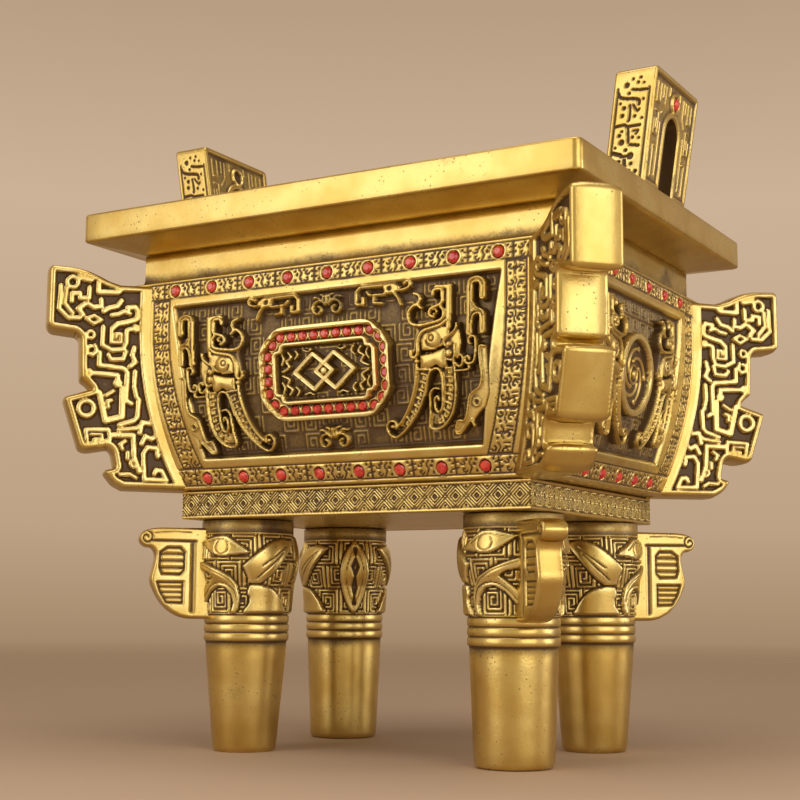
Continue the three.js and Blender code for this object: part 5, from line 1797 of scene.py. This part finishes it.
@dataclass
class Tabs:
    """The scrolled, ribbed tabs on the outside of the legs."""

    workshop: Workshop
    half: float = 5.0
    leg_radius: float = 20.3

    def at(self, points: Line) -> Line:
        """Places given as reach beyond the leg's belly and drop below its top."""
        return [(self.leg_radius + reach, SIZES.leg_height - drop) for reach, drop in points]

    def pocket(self, canvas: Canvas, corners: Line) -> None:
        """Sink one pocket with four rounded ribs across it."""
        outline = self.at(corners)
        canvas.sink(Motif().area(outline), -1.8, 1.5)
        window = canvas.window(Motif().area(outline).box(), 0.5)
        gap = gap_to_area(outline, canvas.x[window], canvas.z[window])
        foot, head = (SIZES.leg_height - pick(drop for _, drop in corners) for pick in (max, min))
        bulge = np.abs(np.sin((canvas.z[window] - foot) / (head - foot) * 4 * math.pi)) ** 0.25
        canvas.height[window] += 1.5 * bulge * smooth(-(gap - 0.1) / 0.9)

    def draw(self) -> Canvas:
        """Draw one face of the tab."""
        canvas = Canvas.sheet((15.0, 52.0), (46.0, 91.5), 0.35)
        self.pocket(canvas, [
            (8.2, 11.3), (13.6, 11.3), (16.4, 13.4), (16.6, 19.6), (15.6, 22.3), (8.2, 22.5), (6.4, 20.4),
            (6.4, 13.4),
        ])
        self.pocket(canvas, [(6.9, 25.4), (17.4, 25.4), (16.2, 29.4), (13.6, 33.8), (6.9, 34.0)])
        canvas.sink(Motif().line(self.at([(3.2, 10.0), (3.2, 37.0)]), 1.4), -0.7, 1.8)
        canvas.engrave(Motif().line(self.at([(2.0, 8.8), (20.0, 8.6)]), 0.8), 0.5, 0.7)
        scroll = spiral(self.leg_radius + 22.0, SIZES.leg_height - 7.4, 2.7, 0.6, 95, 430, 24)
        canvas.engrave(Motif().line(scroll, 0.5), 0.6, 0.5)
        canvas.engrave(Motif().curve(self.at([(4, 5.2), (12, 5.0), (19, 5.6)]), 0.35), 0.3, 0.4)
        canvas.settle()
        return canvas

    def build(self) -> None:
        """Make the four tabs."""
        outline = self.at([
            (-4.6, 3.2), (16.7, 3.3), (20.7, 3.8), (23.6, 4.9), (24.9, 7.5), (24.2, 9.8), (22.1, 11.2),
            (20.1, 11.1), (18.5, 12.9), (18.1, 15.5), (19, 19.5), (20, 23.5), (19.7, 26), (17.6, 30.5),
            (15.2, 34.2), (12, 37.2), (8.2, 39.3), (4.7, 40.1), (-4.6, 40.2),
        ])
        plate = Plate(soften(outline, 1.2), self.half, 1.2, pillow=0.2)
        canvas = self.draw()
        stain = canvas.recess(1.6, 2.2, 0.6, 0.45, 0.3)
        for corner in CORNERS:
            cast = Cast()
            plate.faces(cast, canvas, stain)
            plate.edge(cast)
            piece = cast.make(f"scrolled_tab_{corner.name}", corner.place(SIZES.leg_x, SIZES.leg_y))
            self.workshop.deliver(piece, Finish.BRASS, f"leg_tab_{corner.name}")


@dataclass
class BaseBands:
    """The lattice band round the foot of the basin."""

    workshop: Workshop
    pitch: float = 0.36
    low: float = 95.2
    high: float = 103.8
    crosses: tuple[int, int] = (18, 14)

    def draw(self, half: float, count: int) -> Canvas:
        """Draw the lattice on a strip.

        Args:
            half: half of the strip's length.
            count: how many crosses it has.

        Returns:
            The heights of the whole strip.
        """
        canvas = Canvas.sheet((0.0, SIZES.plinth_foot), (half, SIZES.band_top), self.pitch)
        low, high = self.low, self.high
        middle, rise, cell = (low + high) / 2, (high - low) / 2, 2 * half / count
        canvas.engrave(Motif().line([(-1, low), (half, low)], 0.4).line([(-1, high), (half, high)], 0.4), 0.35)
        for index in range(count // 2 + 1):
            x = index * cell
            cross = Motif()
            for step in (-0.75, 0.75):
                cross.line([(x + step - cell / 2, low), (x + step + cell / 2, high)], 0.42)
                cross.line([(x + step - cell / 2, high), (x + step + cell / 2, low)], 0.42)
            for side in (-1, 1):
                edge = middle + side * rise
                cross.line([(x - 2.2, edge), (x, edge - side * 2.3), (x + 2.2, edge)], 0.45)
                cross.disc(x, edge - side * 0.9, 0.5)
            centre = x + cell / 2
            for size in (0.7, 2.3):
                diamond = [
                    (centre - size, middle), (centre, middle + size), (centre + size, middle),
                    (centre, middle - size), (centre - size, middle),
                ]
                cross.line(diamond, 0.9 if size < 1 else 0.5)
            canvas.engrave(cross, 0.7, 0.45)
        canvas.settle()
        return canvas.mirrored()

    def build(self) -> None:
        """Make the four strips."""
        s = SIZES
        for side in SIDES:
            half = s.band_x if side.long else s.band_y
            canvas = self.draw(half, self.crosses[0 if side.long else 1])
            stain = canvas.recess(1.0, 1.4, 0.5, 0.4, 0.5)
            across = canvas.across
            width = np.ones(len(across))
            top = [(-5.0, s.band_top), (-0.7, s.band_top), (-0.2, s.band_top - 0.15)]
            foot = [
                (-0.2, s.plinth_foot + 0.15), (-0.7, s.plinth_foot), (-5.0, s.plinth_foot), (-5.0, s.band_top),
            ]
            rows = canvas.up[::-1][1:-1]
            outs = np.concatenate([
                [o * width for o, _ in top], canvas.height[::-1][1:-1], [o * width for o, _ in foot],
            ])
            highs = np.array([*[z for _, z in top], *rows, *[z for _, z in foot]])[:, None]
            base = np.array([*[o for o, _ in top], *(rows * 0), *[o for o, _ in foot]])
            limit = (half + base)[:, None]
            xs = np.clip(across[None, :], -limit, limit)
            patina_and_shade = np.concatenate([np.zeros((3, len(across))), stain[::-1][1:-1], np.zeros((4, len(across)))])
            cast = Cast()
            cast.grid(np.stack([xs, -outs, np.broadcast_to(highs, xs.shape)], axis=-1), patina_and_shade)
            piece = cast.make(f"lattice_band_{side.name}", side.place(s.band_x, s.band_y), flip=True)
            self.workshop.deliver(piece, Finish.BRASS, f"base_band_{side.name}")


@dataclass
class Rim:
    """The flat rim, polished, with its edges softened by hand."""

    workshop: Workshop
    corner: float = 3.0
    bevel: float = 1.1

    def sections(self) -> list[tuple[float, float, float, float]]:
        """The rim's rounded rectangles from its top inside, outward and round."""
        s = SIZES
        neck_x, neck_y = s.basin_x - s.neck_inset, s.basin_y - s.neck_inset
        inner_x, inner_y = neck_x - s.neck_thickness, neck_y - s.neck_thickness
        edge = s.rim_foot + s.rim_slope
        rows = [(inner_x + 0.6, inner_y + 0.6, s.rim_top, 1.4), (inner_x + 1.6, inner_y + 1.6, s.rim_top, 1.6)]
        rows += [(s.rim_x - d, s.rim_y - d, s.rim_top, 2.2) for d in (6.0, 2.4, 1.4)]
        for angle in (0, 22, 45, 68, 90):
            turn = math.radians(angle)
            inset = self.bevel * (1 - math.sin(turn))
            high = s.rim_top - self.bevel * (1 - math.cos(turn))
            rows.append((s.rim_x - inset, s.rim_y - inset, high, self.corner))
        rows += [(s.rim_x, s.rim_y, z, self.corner) for z in (216.0, 212.0, edge + 0.7)]
        rows += [(s.rim_x - 0.2, s.rim_y - 0.2, edge + 0.2, self.corner)]
        start_x, start_y = s.rim_x - 0.6, s.rim_y - 0.6
        for share in np.linspace(0, 1, 9):
            sag = 0.3 * math.sin(math.pi * share)
            rows.append((
                start_x + (neck_x - start_x) * share, start_y + (neck_y - start_y) * share,
                edge - s.rim_slope * share + sag, self.corner - share,
            ))
        return rows + [(inner_x, inner_y, s.rim_foot, 1.0), (inner_x, inner_y, s.rim_top - 0.6, 1.0), rows[0]]

    def build(self) -> None:
        """Make the rim."""
        quarters = ((1, 1), (-1, 1), (-1, -1), (1, -1))
        rows = []
        for half_x, half_y, z, radius in self.sections():
            ring = []
            for quarter, (sx, sy) in enumerate(quarters):
                for step in range(7):
                    angle = math.radians(quarter * 90 + step * 15)
                    x = sx * (half_x - radius) + radius * math.cos(angle)
                    ring.append((x, sy * (half_y - radius) + radius * math.sin(angle), z))
            rows.append(ring)
        corners = np.array(rows)
        # The straight sides get steps too, so that the shading stays even.
        filled = []
        for index in range(corners.shape[1]):
            filled.append(corners[:, index])
            if index % 7 == 6:
                ahead = corners[:, (index + 1) % corners.shape[1]]
                for share in np.linspace(0, 1, 26)[1:-1]:
                    filled.append(corners[:, index] * (1 - share) + ahead * share)
        cast = Cast()
        cast.grid(np.stack(filled, axis=1), 0.0, close=True)
        self.workshop.deliver(cast.make("polished_rim", flip=True), Finish.BRASS, "rim_frame")


@dataclass
class Ears:
    """The two pierced ears, carved on their faces and sides."""

    workshop: Workshop
    half: float = 8.5
    half_base: float = 22.9
    half_top: float = 24.3
    height: float = 45.5
    arch_half: float = 7.25
    arch_top: float = 30.4
    stone: float = 36.3
    sunk: float = -0.9

    def arch(self, half: float, degrees: Sequence[int]) -> Line:
        """Points round the arch's head at a half width."""
        centre = self.arch_top - self.arch_half
        return [
            (half * math.cos(math.radians(angle)), centre + half * math.sin(math.radians(angle)))
            for angle in degrees
        ]

    def outline(self) -> Line:
        """The ear's outline with its arch."""
        corners = [
            (self.half_base, 0), (self.half_top, self.height), (-self.half_top, self.height),
            (-self.half_base, 0),
        ]
        arch = self.arch(self.arch_half, range(180, -1, -12))
        return [*soften(corners, 2.4), (-self.arch_half, 0), *arch, (self.arch_half, 0)]

    def face(self) -> Canvas:
        """Draw the face of an ear, which is the same on both sides."""
        canvas = Canvas.sheet((0.0, -0.2), (25.2, 46.2), 0.36)
        reach = self.arch_half + 2.5
        head = self.arch(reach, range(0, 100, 10))
        border = [(-1, 43.2), (21.9, 43.2), (20.8, 2.0), (reach, 2.0), *head, (-1, head[-1][1])]
        canvas.sink(Motif().area(border), self.sunk, 0.8)
        bars = Motif().line([(13.2, 5.0), (13.2, 26.0)], 0.9).line([(17.4, 4.0), (17.6, 16.0), (15.2, 16.0)], 0.9)
        bars.line([(15.4, 40.6), (15.4, 33.0), (19.0, 33.0), (19.0, 40.6)], 0.9)
        bars.line([(9.8, 40.8), (9.8, 33.5), (12.6, 30.0)], 0.9).line([(12.4, 40.8), (12.4, 36.0)], 0.9)
        bars.line([(19.0, 29.5), (15.4, 29.5), (15.4, 20.5), (19.2, 20.5), (19.2, 26.0)], 0.9)
        bars.line([(17.2, 23.0), (17.2, 26.5)], 0.9).line([(5.6, 41.6), (5.6, 38.6)], 0.8)
        canvas.emboss(bars, self.sunk, -0.35, 0.8)
        canvas.emboss(Motif().ring(0, self.stone, 3.6, 1.3), self.sunk, 0.3, 0.9)
        canvas.engrave(Motif().disc(0, self.stone, 2.7), 0.9, 0.6)
        canvas.settle()
        return canvas.mirrored()

    def side(self) -> Canvas:
        """Draw the narrow side of an ear, engraved with cloud bars, hooks and drilled dots."""
        canvas = Canvas.sheet((-7.8, 0.2), (7.8, 43.1), 0.36)
        canvas.engrave(Motif().line([(-6.6, -1), (-6.6, 38.0)], 0.55).line([(6.4, -1), (6.4, 37.0)], 0.55), 0.4)
        bars = Motif().curve([(-0.5, 36.9), (2.0, 36.4), (5.6, 36.1)], 0.8)
        bars.curve([(-6.4, 36.1), (-5.5, 34.5), (-2.8, 33.6), (0.0, 33.2), (2.4, 32.4), (2.6, 30.8)], 1.0)
        bars.curve([(-0.9, 30.8), (-0.6, 25.9), (-1.0, 24.7)], 0.7).curve([(0.4, 30.8), (2.2, 28.3), (3.1, 28.9)], 0.6)
        bars.curve([(-6.0, 23.1), (-2.6, 23.4), (-1.0, 22.6), (4.0, 22.6)], 0.9)
        bars.line([(-0.8, 21.8), (0.0, 16.4)], 0.8).curve([(1.6, 20.6), (3.5, 20.6), (2.8, 19.3)], 0.6)
        bars.line([(0.8, 15.3), (4.3, 14.6)], 0.9).line([(-6.0, 12.8), (-2.6, 11.6)], 1.2)
        bars.line([(-2.4, 11.0), (1.0, 11.0)], 0.7).line([(-0.8, 9.6), (-0.6, 6.7)], 1.0)
        for x, z, radius in (
            (-0.7, 41.0, 0.4), (2.4, 41.2, 0.4), (1.5, 39.4, 0.45), (-1.8, 35.6, 0.5), (-3.1, 38.9, 0.9),
            (-3.3, 30.0, 0.65), (-3.7, 27.1, 0.65), (1.5, 26.3, 0.5), (-3.1, 20.9, 0.4), (-4.0, 19.4, 0.6),
            (1.5, 18.1, 0.5), (-2.8, 16.6, 1.0), (-0.7, 13.4, 0.55), (1.4, 10.9, 1.2), (-3.0, 9.1, 0.55),
            (2.1, 7.9, 0.5), (1.6, 5.1, 0.5), (4.2, 4.7, 0.6), (-3.2, 4.9, 0.6), (4.3, 32.6, 0.4),
            (4.6, 25.2, 0.4), (-5.0, 32.0, 0.4), (4.2, 17.6, 0.4), (-5.2, 14.8, 0.4), (3.9, 39.0, 0.35),
        ):
            bars.disc(x, z, radius)
        canvas.engrave(bars, 0.7, 0.5)
        canvas.settle()
        return canvas

    def build(self) -> None:
        """Make both ears and their stones."""
        lean = math.tan(math.radians(SIZES.ear_lean))
        face, side = self.face(), self.side()
        face_stain = face.recess(1.2, 1.8, 0.45, 0.35) + 0.2
        side_stain = side.recess(1.2, 2.2, 0.5, 0.4, 0.7) + 0.12
        plate = Plate(
            self.outline(), self.half, 0.7,
            open_edge=lambda x, z: (np.abs(x) > 22.5) & (z > 0.3) & (z < 43),
            # The inside of the arch is painted near black: its patina, and painted shade inside the opening.
            edge_shade_and_patina=lambda x, z: 0.85 * (np.hypot(x, np.maximum(z - 23, 0)) < 8.5),
        )
        for name, direction in (("left", -1), ("right", 1)):
            cast = Cast()
            plate.faces(cast, face, face_stain)
            plate.edge(cast)
            for hand in (-1, 1):
                out = self.half_base + (self.half_top - self.half_base) * side.z / self.height
                cast.grid(np.stack([hand * (out + side.height), hand * side.x, side.z], axis=-1), side_stain)
            # The plate's faces look along -Y and +Y; it is sheared to lean outward and turned to its end.
            spot = Matrix.Translation(
                (direction * (SIZES.rim_x - SIZES.ear_setback), 0, SIZES.rim_top + SIZES.seat)
            ) @ Matrix.Rotation(math.radians(90 * direction), 4, "Z")
            body = Matrix(((1, 0, 0, 0), (0, 1, -lean, self.half), (0, 0, 1, 0), (0, 0, 0, 1)))
            skin = Matrix(((1, 0, 0, 0), (0, 1, -lean, 0), (0, 0, 1, 0), (0, 0, 0, 1)))
            self.workshop.deliver(cast.make(f"carved_ear_{name}", spot @ body), Finish.BRASS, f"ear_{name}")
            gems = Gems()
            gems.set(0.0, -0.3, self.stone, 2.5, 1.4)
            stone = gems.make(f"cut_stone_{name}", spot @ skin)
            self.workshop.deliver(stone, Finish.STONE, f"ear_stone_{name}")


@dataclass
class Studio:
    """The floor, the air, the lamps and the camera that stand round the object."""

    eye_mm: tuple[float, float, float] = (308.0, -551.8, 60.1)
    turn: float = 29.99
    tilt: float = 7.71
    roll: float = 0.32
    focal_mm: float = 67.48
    sensor_mm: float = 36.0
    floor_painted_light_colours: tuple = ("#B2977C", "#CFB296", "#F0DBBF")
    air_colours: tuple = ((-0.06, "#977A5D"), (0.0, "#AD9274"), (0.05, "#BDA285"), (0.26, "#CCB297"), (0.4, "#B49B7F"))

    def camera(self) -> None:
        """Stand the camera where the photograph was taken from."""
        turn, tilt, roll = (math.radians(angle) for angle in (self.turn, self.tilt, self.roll))
        ahead = Vector((-math.sin(turn) * math.cos(tilt), math.cos(turn) * math.cos(tilt), math.sin(tilt)))
        level = ahead.cross(Vector((0, 0, 1))).normalized()
        upright = level.cross(ahead)
        right = math.cos(roll) * level + math.sin(roll) * upright
        up = math.cos(roll) * upright - math.sin(roll) * level
        lens = bpy.data.cameras.new("camera")
        lens.lens = self.focal_mm
        lens.sensor_width = self.sensor_mm
        camera = bpy.data.objects.new("camera", lens)
        place = Vector(self.eye_mm) * MM
        camera.matrix_world = Matrix(
            (
                (right.x, up.x, -ahead.x, place.x),
                (right.y, up.y, -ahead.y, place.y),
                (right.z, up.z, -ahead.z, place.z),
                (0, 0, 0, 1),
            )
        )
        bpy.context.scene.collection.objects.link(camera)
        bpy.context.scene.camera = camera

    def stage(self) -> None:
        """Lay the floor, which fades into the air between one and two and a half metres out."""
        bpy.ops.object.select_all(action="DESELECT")
        bpy.ops.mesh.primitive_plane_add(size=6.0, location=(0, 0, 0))
        floor = bpy.context.active_object
        floor.name = "floor"
        material = bpy.data.materials.new("warm paper floor with painted light")
        tree = fresh_tree(material)
        place = add_node(tree, "ShaderNodeTexCoord").outputs["Object"]
        far = add_node(tree, "ShaderNodeVectorMath", {"operation": "LENGTH"}, {0: place}).outputs["Value"]
        fade = spread(tree, far, 0.35, 1.9, eased=True)
        # Painted light: the paper is painted paler towards the lamps in front, as if lit more there.
        front = add_node(
            tree, "ShaderNodeVectorMath", {"operation": "DOT_PRODUCT"}, {0: place, 1: (0.55, -0.83, 0.0)}
        ).outputs["Value"]
        shades = [(at, linear(colour)) for at, colour in zip((0.0, 0.36, 0.9), self.floor_painted_light_colours)]
        paper = {"Base Color": ramp(tree, spread(tree, front, -0.13, 0.62), shades), "Roughness": 0.7}
        shader = add_node(tree, "ShaderNodeBsdfPrincipled", inputs=paper).outputs[0]
        clear = add_node(tree, "ShaderNodeBsdfTransparent").outputs[0]
        mixed = add_node(tree, "ShaderNodeMixShader", inputs={0: fade, 1: shader, 2: clear}).outputs[0]
        add_node(tree, "ShaderNodeOutputMaterial", inputs={"Surface": mixed})
        floor.data.materials.append(material)
        floor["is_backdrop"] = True

    def lamp(self, name: str, place: tuple, size: tuple, watts: float, colour: str = "#FCF9F8") -> None:
        """Hang one soft lamp that looks at the object.

        Args:
            name: the lamp's name.
            place: where it hangs, in metres.
            size: the width and height of its face, in metres.
            watts: its power.
            colour: its sRGB hex colour.
        """
        light = bpy.data.lights.new(name, "AREA")
        light.shape = "RECTANGLE"
        light.size, light.size_y = size
        light.energy = watts
        light.color = linear(colour)[:3]
        lamp = bpy.data.objects.new(name, light)
        aim = Vector((0, 0, 0.13)) - Vector(place)
        lamp.matrix_world = Matrix.Translation(place) @ aim.to_track_quat("-Z", "Y").to_matrix().to_4x4()
        bpy.context.scene.collection.objects.link(lamp)

    def air(self) -> None:
        """Fill the air round the object: palest a little above the horizon, and weaker as a light."""
        world = bpy.data.worlds.new("studio air")
        bpy.context.scene.world = world
        tree = fresh_tree(world)
        way = add_node(tree, "ShaderNodeTexCoord").outputs["Generated"]
        height = add_node(tree, "ShaderNodeSeparateXYZ", inputs={0: way}).outputs["Z"]
        low, high = self.air_colours[0][0], self.air_colours[-1][0]
        share = spread(tree, height, low, high)
        sky = ramp(tree, share, [((z - low) / (high - low), linear(colour)) for z, colour in self.air_colours])
        # The room is dimmer behind the object's right side, where no lamp stands: the brass shows that.
        side = add_node(
            tree, "ShaderNodeVectorMath", {"operation": "DOT_PRODUCT"}, {0: way, 1: (0.55, 0.83, 0.0)}
        ).outputs["Value"]
        path = add_node(tree, "ShaderNodeLightPath")
        dim = add_node(
            tree, "ShaderNodeMath", {"operation": "MULTIPLY"},
            {0: spread(tree, side, 0.5, 0.9, 0.0, 0.22, eased=True), 1: path.outputs["Is Glossy Ray"]},
        ).outputs[0]
        shade = {0: dim, 6: sky, 7: linear("#2A2017")}
        sky = add_node(tree, "ShaderNodeMix", {"data_type": "RGBA"}, shade).outputs[2]
        # The room in front, behind the camera, is paler than the paper sweep.
        front = add_node(
            tree, "ShaderNodeVectorMath", {"operation": "DOT_PRODUCT"}, {0: way, 1: (0.49, -0.87, 0.0)}
        ).outputs["Value"]
        room = {0: spread(tree, front, 0.1, 0.8, 0.0, 0.7, eased=True), 6: sky, 7: linear("#D6CDB0")}
        sky = add_node(tree, "ShaderNodeMix", {"data_type": "RGBA"}, room).outputs[2]
        seen = add_node(
            tree, "ShaderNodeMath", {"operation": "ADD", "use_clamp": True},
            {0: path.outputs["Is Camera Ray"], 1: path.outputs["Is Glossy Ray"]},
        ).outputs[0]
        seen = add_node(
            tree, "ShaderNodeMath", {"operation": "ADD", "use_clamp": True},
            {0: seen, 1: path.outputs["Is Transmission Ray"]},
        ).outputs[0]
        shown = add_node(tree, "ShaderNodeBackground", inputs={"Color": sky, "Strength": 1.0}).outputs[0]
        fill = {"Color": linear("#D8C6AE"), "Strength": 0.42}
        lit = add_node(tree, "ShaderNodeBackground", inputs=fill).outputs[0]
        mixed = add_node(tree, "ShaderNodeMixShader", inputs={0: seen, 1: lit, 2: shown})
        add_node(tree, "ShaderNodeOutputWorld", inputs={"Surface": mixed.outputs[0]})

    def build(self) -> None:
        """Set up the whole studio."""
        bpy.context.scene.view_settings.view_transform = "Standard"
        self.camera()
        self.stage()
        self.air()
        self.lamp("key lamp", (-0.66, -1.45, 0.62), (0.9, 1.4), 6.7)
        self.lamp("near lamp", (1.5, -0.8, 0.5), (1.2, 1.2), 8.0)
        self.lamp("side lamp", (1.58, 0.8, 0.3), (0.8, 0.9), 6.0)
        self.lamp("top lamp", (0.1, -0.3, 1.8), (1.4, 1.4), 12.0)


def main() -> None:
    """Build the studio and dress the ding."""
    Studio().build()
    workshop = Workshop()
    workshop.dress_nodes()
    Basin(workshop).build()
    BirdRelief(workshop).build()
    CartoucheRelief(workshop).build()
    MedallionRelief(workshop).build()
    Flanges(workshop).build()
    Legs(workshop).build()
    Tabs(workshop).build()
    BaseBands(workshop).build()
    Rim(workshop).build()
    Ears(workshop).build()
    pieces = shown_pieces()
    log.info("%d faces in %d pieces", sum(len(piece.data.polygons) for piece in pieces), len(pieces))


if __name__ == "__main__":
    main()
